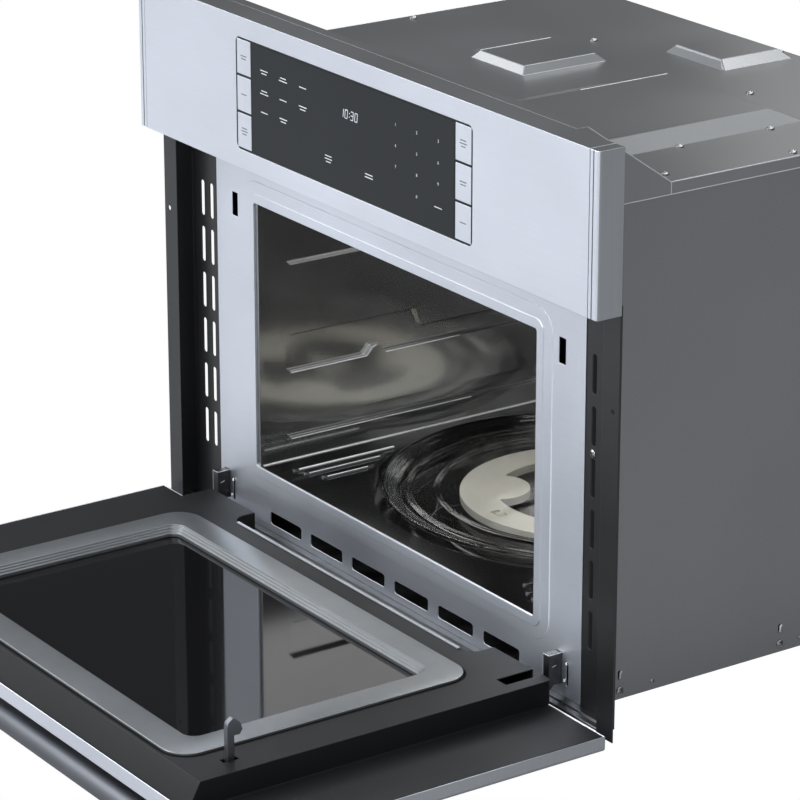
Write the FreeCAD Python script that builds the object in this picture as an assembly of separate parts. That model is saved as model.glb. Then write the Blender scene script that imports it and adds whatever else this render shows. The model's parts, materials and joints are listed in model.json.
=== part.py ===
import FreeCAD, Part
import math
import os

os.makedirs("parts", exist_ok=True)

# All sizes are in millimetres. X runs to the right seen from the front, Y to the back, Z up.
# The origin is the centre of the base underside. The door is modelled shut and then let down.

# Widths and depths, from the turntable outwards
tray_radius = 205.0
tray_gap = 10.0
well_margin = 17.0
cavity_inset = 3.5
plate_border = 70.8
rail_gap = 47.7
rail_flange = 24.0
casing_lap = 2.8
well_front = 22.5
well_back = 3.5
rear_gap = 3.9
plate_setback = 44.5
fascia_depth = 27.7

# Heights, from the base up
plate_bottom_z = 4.0
cavity_floor_z = 67.0
cavity_height = 279.5
sill = 0.3
head = 0.5
plate_head = 54.0
plate_tail = 70.0
fascia_height = 151.0
deck_room = 138.7

# Sheet thicknesses and clearances
casing_sheet = 1.0
cavity_sheet = 0.8
plate_sheet = 1.0
rail_sheet = 1.2
fascia_sheet = 1.2
fit_gap = 0.3
run_gap = 0.05
roll_gap = 0.3

# Front plate
opening_corner = 3.0
pad_margin = 22.5
pad_inner_margin = 9.5
pad_corner = 26.0
pad_step = 0.8
vent_count = 6
vent_pitch = 73.75
vent_length = 56.5
vent_height = 13.0
vent_corner = 3.0
vent_rise = 14.5
latch_slot_width = 10.0
latch_slot_height = 24.5
latch_drop = 10.8
hinge_slot_width = 3.0
hinge_slot_height = 23.0
hinge_slot_offset = 11.5

# Side rails
rail_lap = 4.3
rail_overhang = 2.0
rail_foot_z = 0.0
rail_slot_width = 6.2
rail_slot_height = 37.0
rail_slot_pitch = 48.9
rail_slot_count = 6
rail_slot_drop = 55.0
rail_slot_first = 36.0
rail_slot_step = 16.7
rail_hole_radius = 2.5
rail_hole_edge = 9.0
rail_hole_drop = 89.8

# Lower trim
trim_depth = 16.0
trim_lip = 1.6
trim_step = 2.4

# Control panel
panel_width = 390.6
panel_height = 111.6
panel_rise = 19.3
panel_corner = 6.0
panel_line = 1.7
key_width = 24.7
key_thick = 3.0
key_lip = 0.8
key_lip_thick = 1.0
key_travel = 0.5
board_gap = 0.2
board_margin = 12.0
board_edge = 6.5
board_thick = 7.0
chip_pitch = 80.0
chip_width = 28.0
chip_drop = 40.0
chip_rise = 30.0
end_cap = 13.0
end_line = 8.0
end_line_depth = 0.6
seam_gap = 0.5
end_corner = 4.0
end_wall = 2.0

# Casing: top cover, slope behind the fascia, pressed bosses, rear hump over the oven fan motor
slope_setback = 86.1
slope_shelf = 12.1
cover_flange = 12.0
boss_rise = 8.0
boss_slant = 7.0
boss_small_x = -132.0
boss_small_width = 73.0
boss_small_front = 197.3
boss_small_depth = 86.0
boss_rear_x = -40.0
boss_rear_width = 70.0
boss_rear_back = 19.2
boss_rear_depth = 71.0
boss_rear_slant = 14.0
boss_large_x = 43.0
boss_large_width = 152.0
boss_large_front = 103.3
boss_large_depth = 189.0
boss_large_slant = 29.0
boss_large_run = 18.0
base_rib_width = 24.0
base_rib_rise = 4.0
base_rib_front = 50.0
base_rib_back = 40.0
base_rib_inset = 92.4
base_slot_count = 10
base_slot_pitch = 24.0
base_slot_width = 8.0
base_slot_length = 24.0
base_slot_back = 96.0
tab_slot_front = 41.0
tab_slot_pitch = 190.0
tab_slot_rise = 24.0
tab_slot_length = 4.0
tab_slot_height = 9.0
rear_slot_count = 16
rear_slot_pitch = 30.0
rear_slot_width = 8.0
rear_slot_length = 40.0
rear_slot_drop = 36.0
hump_side = 15.0
hump_corner = 14.0
hump_gap = 11.9
hump_slot_count = 7
hump_slot_pitch = 24.0
hump_slot_length = 80.0
inlet_radius = 14.0
inlet_wall = 2.0
inlet_length = 12.0
inlet_inset = 78.0
inlet_z = 60.0

# Cavity
cavity_flange = 16.0
groove_depth = 6.0
groove_front = 32.0
rack_low_rise = 22.5
rack_low_height = 18.0
rack_mid_rise = 93.5
rack_mid_height = 40.5
rack_mid_drop = 20.0
rack_mid_step = 163.0
rack_top_rise = 208.3
rack_top_height = 18.0
rack_length = 320.0
rack_bump = 9.5
rack_bump_at = 110.0
floor_rib_width = 7.0
floor_rib_rise = 2.2
floor_rib_insets = (29.0, 43.0, 61.0)
floor_rib_starts = (20.0, 24.0, 34.0)

# Turntable
well_depth = 20.0
tray_thick = 4.5
tray_rim = 13.0
tray_rim_wide = 16.0
roller_radius = 6.7
roller_width = 9.0
roller_bore = 1.6
roller_orbit = 108.0
roller_turns = (30, 150, 270)
ring_inner = 90.0
ring_outer = 126.5
ring_thick = 8.0
ring_clear = 1.0
lobe_orbit = 90.0
lobe_radius = 34.0
lobe_turns = (109, 229, 349)
hub_radius = 11.0
coupler_radius = 24.0
coupler_arm = 10.0
coupler_thick = 6.0
shaft_radius = 3.5
shaft_length = 9.0
motor_length = 64.0
motor_width = 52.0
motor_height = 20.0

# Microwave feed and lamp on the deck over the cavity
port_x = 60.0
port_length = 84.0
port_width = 42.0
port_lap = 9.0
guide_height = 36.0
guide_wall = 1.2
guide_length = 190.0
guide_side = 15.2
antenna_radius = 8.0
antenna_length = 20.0
tube_offset = 100.0
tube_width = 80.0
tube_depth = 94.0
tube_height = 60.0
tube_sheet = 2.0
tube_core = 19.0
tube_cap = 52.0
tube_cap_height = 26.0
tube_fins = 6
tube_fin_sheet = 0.9
tube_fin_inset = 13.0
core_inset = 62.0
core_back = 90.0
core_length = 100.0
core_width = 84.0
core_height = 84.0
core_window = 20.0
coil_length = 64.0
coil_width = 68.0
coil_height = 52.0
core_foot = 132.0
lamp_inset = 82.0
lamp_radius = 15.0
lamp_height = 46.0

# Cooling blower
blower_x = 60.0
blower_gap = 12.2
blower_foot = 6.0
blower_outlet = 34.0
blower_outlet_height = 40.0
blower_width = 60.0
blower_radius = 56.0
blower_wall = 1.5
blower_wheel_radius = 42.0
blower_wheel_gap = 6.0
blower_blade = 8.0
blower_hub = 8.0
blower_shaft = 3.0
blower_blades = 18
blower_motor_radius = 27.0
blower_motor_length = 44.0

# Convection set behind the cavity
pan_half = 116.0
pan_depth = 30.0
pan_sheet = 1.0
pan_corner = 20.0
fan_radius = 74.0
fan_gap = 5.0
fan_hub = 9.0
fan_sweep = 40.0
fan_shaft = 4.0
fan_blades = 9
fan_motor_radius = 30.0
fan_motor_length = 28.0
heater_radius = 92.0
heater_rod = 3.3
heater_leg = 14.0
heater_setback = 14.0

# Door, sizes as it stands shut
door_gap = 3.0
door_sill = 5.7
door_edge = 15.0
door_sheet = 1.2
seal_gap = 2.5
choke_height = 2.5
plateau_inset = 10.7
plateau_overhang = 2.2
plateau_margin = 14.9
plateau_corner = 6.0
liner_wall = 1.5
skirt_wall = 2.0
choke_lap = 14.5
choke_drop = 6.3
choke_margin = 5.1
choke_corner = 27.0
band_side = 29.5
band_bottom = 28.0
band_top = 30.5
step_count = 3
step_run = 2.2
step_drop = 2.0
glass_sink = 8.0
glass_thick = 4.0
glass_margin = 11.0
ledge_wall = 2.0
ledge_lap = 8.0
window_lap = 9.5
window_sill = 7.7
window_head = 11.0
window_corner = 12.0
window_seat = 12.0
lip_inset = 30.5
lip_rise = 28.0
lip_height = 1.6
lip_sheet = 1.2
lip_foot = 3.0
bay_corner = 14.0
handle_inset = 88.0
handle_radius = 13.0
handle_standoff = 38.4
handle_drop = 24.0
post_inset = 40.0
post_radius = 8.0

# Hinges, both of one hand
hinge_setback = 18.25
hinge_rise = 0.55
hinge_left_inset = 11.8
hinge_right_inset = 32.8
arm_width = 9.0
arm_ear = 1.5
arm_reach = 14.3
arm_back = 17.5
arm_rise = 12.0
arm_height = 30.0
arm_nose = 8.0
arm_foot = 6.0
pin_radius = 3.0
channel_gap = 0.7
channel_wall = 1.5
channel_nose = 6.5
channel_length = 80.0
notch_gap = 0.5
notch_end = 2.55
notch_clear = 1.25

# Latch hooks
hook_margin = 36.5
hook_thick = 6.0
hook_shaft = 7.5
hook_top_gap = 5.9
hook_root = 12.5
hook_reach = 52.0
hook_head = 17.0
hook_barb = 8.5
hook_pin = 2.5
hook_ear = 3.0
hook_swing = 4.0

# Places that follow from the sizes above
well_radius = tray_radius + tray_gap
cavity_half = well_radius + well_margin
opening_half = cavity_half + cavity_inset
plate_half = opening_half + plate_border
casing_half = plate_half + casing_lap
rail_inner_x = plate_half - rail_lap
rail_wall_x = plate_half + rail_gap
half_width = rail_wall_x + rail_flange
table_setback = well_front + well_radius
cavity_depth = table_setback + well_radius + well_back
casing_depth = cavity_depth - rail_sheet + cavity_sheet + rear_gap + casing_sheet
casing_front_y = -casing_depth / 2
casing_rear_y = casing_depth / 2
plate_back_y = casing_front_y - rail_sheet
plate_front_y = plate_back_y - plate_sheet
face_y = plate_front_y - plate_setback
cabinet_y = face_y + fascia_depth
slope_back_y = casing_front_y + slope_setback
cavity_front_y = plate_back_y
cavity_back_y = cavity_front_y + cavity_depth
table_y = cavity_front_y + table_setback
ceiling_z = cavity_floor_z + cavity_height
deck_z = ceiling_z + cavity_sheet
casing_top_z = deck_z + deck_room
opening_bottom_z = cavity_floor_z + sill
opening_top_z = ceiling_z - head
fascia_bottom_z = opening_top_z + plate_head
fascia_top_z = fascia_bottom_z + fascia_height
plate_top_z = fascia_bottom_z + plate_tail
vent_z = plate_bottom_z + vent_rise
latch_slot_z = opening_top_z - latch_drop
rail_slot_top_z = fascia_bottom_z - rail_slot_drop
rail_hole_z = fascia_bottom_z - rail_hole_drop
panel_low = fascia_bottom_z + panel_rise
panel_high = panel_low + panel_height
key_height = (panel_height - 4 * panel_line) / 3
glass_half = panel_width / 2 - 2 * panel_line - key_width
board_y = face_y + key_thick + key_lip_thick + key_travel + board_gap
rack_low_z = cavity_floor_z + rack_low_rise
rack_mid_z = cavity_floor_z + rack_mid_rise
rack_top_z = cavity_floor_z + rack_top_rise
well_z = cavity_floor_z - well_depth
roller_z = well_z + roll_gap + roller_radius
tray_z = roller_z + roller_radius + roll_gap
tube_x = port_x + tube_offset
lamp_x = lamp_inset - cavity_half
core_x = core_inset - cavity_half
blower_y = casing_rear_y - casing_sheet - blower_gap - blower_radius
blower_z = deck_z + blower_foot + blower_radius
fan_z = (cavity_floor_z + ceiling_z) / 2
pan_front_y = cavity_back_y + cavity_sheet
pan_back_y = pan_front_y + pan_depth
hump_half = pan_half + hump_side
hump_back_y = pan_back_y + fan_motor_length + hump_gap + casing_sheet
inlet_x = inlet_inset - casing_half
door_bottom_z = plate_bottom_z + door_sill
door_top_z = fascia_bottom_z - door_gap
pivot_y = face_y + hinge_setback
pivot_z = door_bottom_z + hinge_rise
choke_y = plate_front_y - seal_gap
plateau_y = choke_y - choke_height
flange_y = face_y + door_edge
glass_y = plateau_y - glass_sink
plateau_half = plate_half - plateau_inset
plateau_bottom_z = door_bottom_z - plateau_overhang
plateau_top_z = door_top_z - plateau_margin
choke_half = opening_half + choke_lap
choke_bottom_z = opening_bottom_z - choke_drop
choke_top_z = plateau_top_z - choke_margin
glass_half_width = choke_half - band_side + glass_margin
glass_low_z = choke_bottom_z + band_bottom - glass_margin
glass_high_z = choke_top_z - band_top + glass_margin
window_half = opening_half + window_lap
window_bottom_z = opening_bottom_z + window_sill
window_top_z = opening_top_z - window_head
lip_half = opening_half - lip_inset
lip_z = plateau_bottom_z + lip_rise
handle_half = half_width - handle_inset
handle_y = face_y - handle_standoff
handle_z = door_top_z - handle_drop
post_x = handle_half - post_inset
arm_low_z = plate_bottom_z + arm_rise
arm_top_z = arm_low_z + arm_height
hinge_left_x = hinge_left_inset - plate_half
hinge_right_x = plate_half - hinge_right_inset
notch_half = arm_width / 2 + channel_gap + channel_wall + notch_gap
notch_top_z = arm_top_z + notch_end
notch_floor = hinge_setback - arm_nose - notch_clear
hook_x = opening_half + hook_margin
hook_z = latch_slot_z + latch_slot_height / 2 - hook_top_gap
hook_root_y = plateau_y - hook_root


def spot(axis, u, v, w):
    if axis == "X":
        return FreeCAD.Vector(w, u, v)
    if axis == "Y":
        return FreeCAD.Vector(u, w, v)
    return FreeCAD.Vector(u, v, w)


def upright(shape):
    if shape.Volume < 0:
        shape.reverse()
    return shape


def box(x0, x1, y0, y1, z0, z1):
    return Part.makeBox(x1 - x0, y1 - y0, z1 - z0, FreeCAD.Vector(x0, y0, z0))


def rod(axis, u, v, w0, w1, radius):
    return Part.makeCylinder(radius, w1 - w0, spot(axis, u, v, w0), spot(axis, 0, 0, 1))


def prism(axis, points, w0, w1):
    corners = [spot(axis, u, v, w0) for u, v in points]
    face = Part.Face(Part.makePolygon(corners + [corners[0]]))
    return upright(face.extrude(spot(axis, 0, 0, w1 - w0)))


# A slab whose outline is a rectangle with four round corners
def slab(axis, u0, u1, v0, v1, w0, w1, r):
    q = r * (1 - math.sqrt(0.5))
    bend = [
        ((u1 - r, v0), (u1 - q, v0 + q), (u1, v0 + r)),
        ((u1, v1 - r), (u1 - q, v1 - q), (u1 - r, v1)),
        ((u0 + r, v1), (u0 + q, v1 - q), (u0, v1 - r)),
        ((u0, v0 + r), (u0 + q, v0 + q), (u0 + r, v0)),
    ]
    edges = []
    last = (u0 + r, v0)
    for first, middle, end in bend:
        edges.append(Part.makeLine(spot(axis, *last, w0), spot(axis, *first, w0)))
        arc = Part.Arc(spot(axis, *first, w0), spot(axis, *middle, w0), spot(axis, *end, w0))
        edges.append(arc.toShape())
        last = end
    face = Part.Face(Part.Wire(edges))
    return upright(face.extrude(spot(axis, 0, 0, w1 - w0)))


def joined(shapes):
    return shapes[0].multiFuse(shapes[1:])


def turned(x, y, points):
    corners = [FreeCAD.Vector(x + r, y, z) for r, z in points]
    face = Part.Face(Part.makePolygon(corners + [corners[0]]))
    shape = face.revolve(FreeCAD.Vector(x, y, 0), FreeCAD.Vector(0, 0, 1), 360)
    return upright(shape)


def mirrored(shape):
    return shape.mirror(FreeCAD.Vector(0, 0, 0), FreeCAD.Vector(1, 0, 0))


def let_down(shape):
    low = shape.copy()
    low.rotate(FreeCAD.Vector(0, pivot_y, pivot_z), FreeCAD.Vector(1, 0, 0), 90)
    return low


def save(name, shape):
    shape.removeSplitter().exportStep("parts/" + name + ".step")


def save_door(name, shape):
    save(name, let_down(shape))


# Stainless front plate with a two-step raised pad round the oven opening
def front_plate():
    half = plate_half
    open_half = opening_half
    plate = box(-half, half, plate_front_y, plate_back_y, plate_bottom_z, plate_top_z)
    for level, margin in ((1, pad_margin), (2, pad_inner_margin)):
        pad = slab("Y", -open_half - margin, open_half + margin, opening_bottom_z - margin,
                   opening_top_z + margin, plate_front_y - pad_step * level, plate_back_y,
                   pad_corner * margin / pad_margin)
        plate = plate.fuse(pad)
    front = plate_front_y - 3 * pad_step
    cuts = [slab("Y", -open_half, open_half, opening_bottom_z, opening_top_z, front, plate_back_y + 1,
                 opening_corner)]
    for i in range(vent_count):
        middle = (i - (vent_count - 1) / 2) * vent_pitch
        cuts.append(slab("Y", middle - vent_length / 2, middle + vent_length / 2, vent_z - vent_height / 2,
                         vent_z + vent_height / 2, front, plate_back_y + 1, vent_corner))
    for side in (-1, 1):
        slot_x = side * hook_x
        cuts.append(box(slot_x - latch_slot_width / 2, slot_x + latch_slot_width / 2, front,
                        plate_back_y + 1,
                        latch_slot_z - latch_slot_height / 2, latch_slot_z + latch_slot_height / 2))
    for x in (hinge_left_x, hinge_right_x):
        cuts.append(box(x - arm_width / 2 - fit_gap, x + arm_width / 2 + fit_gap, front, plate_back_y + 1,
                        arm_low_z - fit_gap, arm_top_z + fit_gap))
        slot_x = x + hinge_slot_offset
        cuts.append(box(slot_x, slot_x + hinge_slot_width, front, plate_back_y + 1,
                        arm_low_z, arm_low_z + hinge_slot_height))
    return plate.cut(cuts)


# One slotted side rail, drawn for the right hand side
def side_rail():
    front = box(rail_wall_x, half_width - fit_gap, cabinet_y - rail_sheet, cabinet_y,
                -rail_overhang, fascia_bottom_z)
    wall = box(rail_wall_x, rail_wall_x + rail_sheet, cabinet_y - rail_sheet, casing_front_y,
               -rail_overhang, fascia_bottom_z)
    inner = box(rail_inner_x, rail_wall_x + rail_sheet, plate_back_y, casing_front_y,
                rail_foot_z, fascia_bottom_z)
    rail = joined([front, wall, inner])
    cuts = []
    for column in range(2):
        x = rail_wall_x - rail_slot_first + column * rail_slot_step
        for row in range(rail_slot_count):
            top = rail_slot_top_z - row * rail_slot_pitch
            cuts.append(slab("Y", x - rail_slot_width / 2, x + rail_slot_width / 2,
                             top - rail_slot_height, top,
                             plate_back_y - 1, casing_front_y + 1, rail_slot_width / 2 - 0.2))
    cuts.append(rod("Y", half_width - rail_hole_edge, rail_hole_z, cabinet_y - rail_sheet - 1,
                    cabinet_y + 1,
                    rail_hole_radius))
    return rail.cut(cuts)


def lower_trim():
    front = plate_front_y - trim_depth
    points = [
        (front, 0),
        (plate_back_y, 0),
        (plate_back_y, plate_bottom_z),
        (plate_front_y - trim_depth / 2, plate_bottom_z),
        (plate_front_y - trim_depth / 2 - 1, trim_step),
        (front + 0.8, trim_step),
        (front, trim_lip),
    ]
    return prism("X", points, -rail_wall_x, rail_wall_x)


# Casing of five folded sheets and the slope behind the fascia
def casing_base():
    half = casing_half - casing_sheet
    pan = box(-half, half, casing_front_y, casing_rear_y, 0, casing_sheet)
    y0 = casing_front_y + base_rib_front
    y1 = casing_rear_y - base_rib_back
    wide = base_rib_width / 2
    narrow = wide - casing_sheet
    for x in (base_rib_inset - half, half - base_rib_inset):
        rib = slab("Z", x - wide, x + wide, y0, y1, 0, casing_sheet + base_rib_rise, wide - 2)
        hollow = slab("Z", x - narrow, x + narrow, y0 + casing_sheet, y1 - casing_sheet, 0, base_rib_rise,
                      narrow - 2)
        pan = pan.fuse(rib).cut(hollow)
    slots = []
    slot_y = casing_rear_y - base_slot_back
    for i in range(base_slot_count):
        x = (i - (base_slot_count - 1) / 2) * base_slot_pitch
        slots.append(slab("Z", x - base_slot_width / 2, x + base_slot_width / 2, slot_y,
                          slot_y + base_slot_length, -1, casing_sheet + 1, base_slot_width / 2 - 0.5))
    return pan.cut(slots)


def casing_side():
    side = box(casing_half - casing_sheet, casing_half, casing_front_y, casing_rear_y, 0,
               casing_top_z - casing_sheet)
    cuts = []
    for i in range(2):
        y = casing_front_y + tab_slot_front + i * tab_slot_pitch
        cuts.append(slab("X", y - tab_slot_length / 2, y + tab_slot_length / 2,
                         tab_slot_rise - tab_slot_height / 2,
                         tab_slot_rise + tab_slot_height / 2, casing_half - 3, casing_half + 1,
                         tab_slot_length / 2 - 0.2))
    return side.cut(cuts)


# A raised platform pressed in the top sheet, from a wide foot to a smaller top
def pressed_boss(foot, crown):
    def skin(lift):
        wires = []
        for (x0, x1, y0, y1), z in ((foot, casing_top_z), (crown, casing_top_z + boss_rise)):
            corners = [(x0, y0), (x1, y0), (x1, y1), (x0, y1), (x0, y0)]
            wires.append(Part.makePolygon([FreeCAD.Vector(x, y, z + lift) for x, y in corners]))
        return Part.makeLoft(wires, True, True)
    return skin(0), skin(-casing_sheet)


def casing_top():
    outer = casing_half + casing_sheet
    top = box(-outer, outer, slope_back_y, casing_rear_y, casing_top_z - cover_flange, casing_top_z)
    top = top.cut(box(-casing_half, casing_half, slope_back_y - 1, casing_rear_y + 1,
                      casing_top_z - cover_flange - 1, casing_top_z - casing_sheet))
    small_y = casing_front_y + boss_small_front
    rear_y = casing_rear_y - boss_rear_back - boss_rear_depth
    large_y = casing_front_y + boss_large_front
    bosses = [
        (boss_small_x, boss_small_width, small_y, boss_small_depth, boss_slant, boss_slant),
        (boss_rear_x, boss_rear_width, rear_y, boss_rear_depth, boss_rear_slant, boss_slant),
        (boss_large_x, boss_large_width, large_y, boss_large_depth, boss_large_slant, boss_large_run),
    ]
    for x, width, y, depth, slant, run in bosses:
        crown = (x, x + width, y, y + depth)
        foot = (x - boss_slant, x + width + slant, y - boss_slant, y + depth + run)
        outside, inside = pressed_boss(foot, crown)
        top = top.fuse(outside).cut(inside)
    return top


def control_cover():
    outer = casing_half + casing_sheet
    shelf_y = cabinet_y + slope_shelf
    low = casing_top_z - cover_flange
    under = fascia_top_z - casing_sheet
    band = [
        (cabinet_y, under),
        (cabinet_y, fascia_top_z),
        (shelf_y, fascia_top_z),
        (slope_back_y, casing_top_z),
        (slope_back_y, casing_top_z - casing_sheet),
        (shelf_y, under),
    ]
    cheek = [
        (cabinet_y, low),
        (slope_back_y, low),
        (slope_back_y, casing_top_z - casing_sheet / 2),
        (shelf_y, fascia_top_z - casing_sheet / 2),
        (cabinet_y, fascia_top_z - casing_sheet / 2),
    ]
    return joined([prism("X", band, -outer, outer), prism("X", cheek, -outer, -casing_half),
                   prism("X", cheek, casing_half, outer)])


def casing_rear():
    half = casing_half - casing_sheet
    inside_y = casing_rear_y - casing_sheet
    back = box(-half, half, inside_y, casing_rear_y, casing_sheet, casing_top_z - casing_sheet)
    hump = slab("Y", -hump_half, hump_half, fan_z - hump_half, fan_z + hump_half, inside_y, hump_back_y,
                hump_corner)
    room = hump_half - casing_sheet
    hollow = slab("Y", -room, room, fan_z - room, fan_z + room, inside_y - 1, hump_back_y - casing_sheet,
                  hump_corner - casing_sheet)
    collar = rod("Y", inlet_x, inlet_z, inside_y, casing_rear_y + inlet_length, inlet_radius)
    back = joined([back, hump, collar]).cut(hollow)
    cuts = [rod("Y", inlet_x, inlet_z, inside_y - 1, casing_rear_y + inlet_length + 1,
                inlet_radius - inlet_wall)]
    wide = rear_slot_width / 2
    high = casing_top_z - rear_slot_drop
    for i in range(rear_slot_count):
        x = (i - (rear_slot_count - 1) / 2) * rear_slot_pitch
        cuts.append(slab("Y", x - wide, x + wide, high - rear_slot_length, high, inside_y - 1,
                         casing_rear_y + 1, wide - 0.5))
    for i in range(hump_slot_count):
        x = (i - (hump_slot_count - 1) / 2) * hump_slot_pitch
        cuts.append(slab("Y", x - wide, x + wide, fan_z - hump_slot_length / 2,
                         fan_z + hump_slot_length / 2,
                         hump_back_y - 5, hump_back_y + 1, wide - 0.5))
    return back.cut(cuts)


# Fascia with its round ended caps, and the control panel let into it
def fascia_shell():
    half = half_width - end_cap - seam_gap
    shell = box(-half, half, face_y, cabinet_y, fascia_bottom_z, fascia_top_z)
    shell = shell.cut(box(-half - 1, half + 1, face_y + fascia_sheet, cabinet_y + 1,
                          fascia_bottom_z + fascia_sheet, fascia_top_z - fascia_sheet))
    tongue = box(-0.9 * plate_half, 0.9 * plate_half, face_y + fascia_sheet, plate_front_y,
                 fascia_bottom_z, fascia_bottom_z + fascia_sheet)
    window = slab("Y", -panel_width / 2, panel_width / 2, fascia_bottom_z + panel_rise,
                  fascia_bottom_z + panel_rise + panel_height, face_y - 1, face_y + fascia_sheet + 1,
                  panel_corner)
    return shell.fuse(tongue).cut(window)


def fascia_end():
    inner = half_width - end_cap
    cap = slab("Z", inner - 20, half_width, face_y, cabinet_y + 20, fascia_bottom_z, fascia_top_z,
               end_corner)
    cap = cap.common(box(inner, half_width, face_y, cabinet_y, fascia_bottom_z, fascia_top_z))
    pocket = box(inner + end_wall, half_width - end_wall, face_y + end_corner, cabinet_y + 1,
                 fascia_bottom_z + end_wall, fascia_top_z - end_wall)
    line_x = half_width - end_line
    line = box(line_x - seam_gap / 2, line_x + seam_gap / 2, face_y - 1, face_y + end_line_depth,
               fascia_bottom_z - 1, fascia_top_z + 1)
    return cap.cut([pocket, line])


def key_cell(side, row):
    outer = panel_width / 2 - panel_line
    low = panel_low + panel_line + row * (key_height + panel_line)
    if side > 0:
        return outer - key_width, outer, low, low + key_height
    return -outer, key_width - outer, low, low + key_height


def key_bezel():
    frame = slab("Y", -panel_width / 2 + 0.1, panel_width / 2 - 0.1, panel_low + 0.1, panel_high - 0.1,
                 face_y,
                 face_y + key_thick, panel_corner)
    cuts = [box(-glass_half, glass_half, face_y - 1, face_y + key_thick + 1, panel_low + panel_line,
                panel_high - panel_line)]
    for side in (-1, 1):
        for row in range(3):
            x0, x1, z0, z1 = key_cell(side, row)
            cuts.append(box(x0, x1, face_y - 1, face_y + key_thick + 1, z0, z1))
    return frame.cut(cuts)


def steel_key(side, row):
    x0, x1, z0, z1 = key_cell(side, row)
    cap = box(x0 + fit_gap, x1 - fit_gap, face_y, face_y + key_thick, z0 + fit_gap, z1 - fit_gap)
    lip = box(x0 - key_lip + fit_gap, x1 + key_lip - fit_gap, face_y + key_thick,
              face_y + key_thick + key_lip_thick, z0 - key_lip + fit_gap, z1 + key_lip - fit_gap)
    return cap.fuse(lip)


def control_glass():
    return box(-glass_half + 0.1, glass_half - 0.1, face_y, board_y, panel_low + panel_line + 0.1,
               panel_high - panel_line - 0.1)


# Control board in a shallow tray whose rim stands against the back of the fascia
def control_board():
    half = panel_width / 2 + board_margin
    tray = slab("Y", -half, half, fascia_bottom_z + board_edge, fascia_top_z - board_edge,
                face_y + fascia_sheet, board_y + board_thick, 8)
    rim = slab("Y", -panel_width / 2 - 1, panel_width / 2 + 1, panel_low - 1, panel_high + 1, face_y,
               board_y, 6)
    parts = [tray.cut(rim)]
    for i in range(4):
        x = (i - 1.5) * chip_pitch
        parts.append(box(x - chip_width / 2, x + chip_width / 2, board_y + board_thick,
                         board_y + board_thick + 6, panel_low + chip_rise, panel_high - chip_drop))
    return joined(parts)


# Cavity of five sheets; the side walls have rack guides pressed outwards
def rack_outline(kind, grow):
    y0 = cavity_front_y + groove_front - grow
    y1 = cavity_front_y + groove_front + rack_length + grow
    if kind == "low":
        z0 = rack_low_z - grow
        z1 = rack_low_z + rack_low_height + grow
        return [(y0, z0 + 6), (y0 + 6, z0), (y1, z0), (y1, z1), (y0 + 6, z1), (y0, z1 - 6)]
    if kind == "top":
        z0 = rack_top_z - grow
        z1 = rack_top_z + rack_top_height + grow
        return [(y0, z0 + 6), (y0 + 6, z0), (y1, z0), (y1, z1), (y0 + 6, z1), (y0, z1 - 6)]
    z0 = rack_mid_z - grow
    z1 = rack_mid_z + rack_mid_height + grow
    bump_y = cavity_front_y + groove_front + rack_bump_at
    step_y = cavity_front_y + groove_front + rack_mid_step
    return [
        (y0, z0 + 6),
        (y0 + 6, z0),
        (bump_y - 12 + grow, z0),
        (bump_y - 5 + grow, z0 + rack_bump),
        (bump_y + 5 - grow, z0 + rack_bump),
        (bump_y + 12 - grow, z0),
        (y1, z0),
        (y1, z1 - rack_mid_drop),
        (step_y + 4 + grow, z1 - rack_mid_drop),
        (step_y - 4 + grow, z1),
        (y0 + 6, z1),
        (y0, z1 - 6),
    ]


def cavity_wall():
    low = cavity_floor_z - cavity_sheet
    high = ceiling_z + cavity_sheet
    parts = [
        box(cavity_half, cavity_half + cavity_sheet, cavity_front_y, cavity_back_y, low, high),
        box(cavity_half, cavity_half + cavity_flange, cavity_front_y, cavity_front_y + cavity_sheet,
            low, high),
    ]
    cuts = []
    for kind in ("low", "mid", "top"):
        parts.append(prism("X", rack_outline(kind, cavity_sheet), cavity_half,
                           cavity_half + groove_depth + cavity_sheet))
        cuts.append(prism("X", rack_outline(kind, 0), cavity_half - 1, cavity_half + groove_depth))
    return joined(parts).cut(cuts)


def cavity_floor():
    low = cavity_floor_z - cavity_sheet
    parts = [
        box(-cavity_half, cavity_half, cavity_front_y, cavity_back_y, low, cavity_floor_z),
        box(-cavity_half, cavity_half, cavity_front_y, cavity_front_y + cavity_sheet,
            low - cavity_flange, low),
        Part.makeCylinder(well_radius + cavity_sheet, well_depth, FreeCAD.Vector(0, table_y,
                                                                                 well_z - cavity_sheet)),
    ]
    hollows = []
    for inset, start in zip(floor_rib_insets, floor_rib_starts):
        for side in (-1, 1):
            x = side * (cavity_half - inset)
            y0 = cavity_front_y + start
            y1 = table_y - math.sqrt(max((well_radius + 6) ** 2 - x * x, 100))
            wide = floor_rib_width / 2
            narrow = wide - cavity_sheet
            parts.append(slab("Z", x - wide, x + wide, y0, y1, low, cavity_floor_z + floor_rib_rise,
                              wide - 0.2))
            hollows.append(slab("Z", x - narrow, x + narrow, y0 + cavity_sheet, y1 - cavity_sheet, low - 1,
                                cavity_floor_z + floor_rib_rise - cavity_sheet, narrow - 0.2))
    well = Part.makeCylinder(well_radius, well_depth + 5, FreeCAD.Vector(0, table_y, well_z))
    bore = rod("Z", 0, table_y, well_z - 3, well_z + 1, shaft_radius + 2)
    return joined(parts).cut(hollows + [well, bore])


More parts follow.
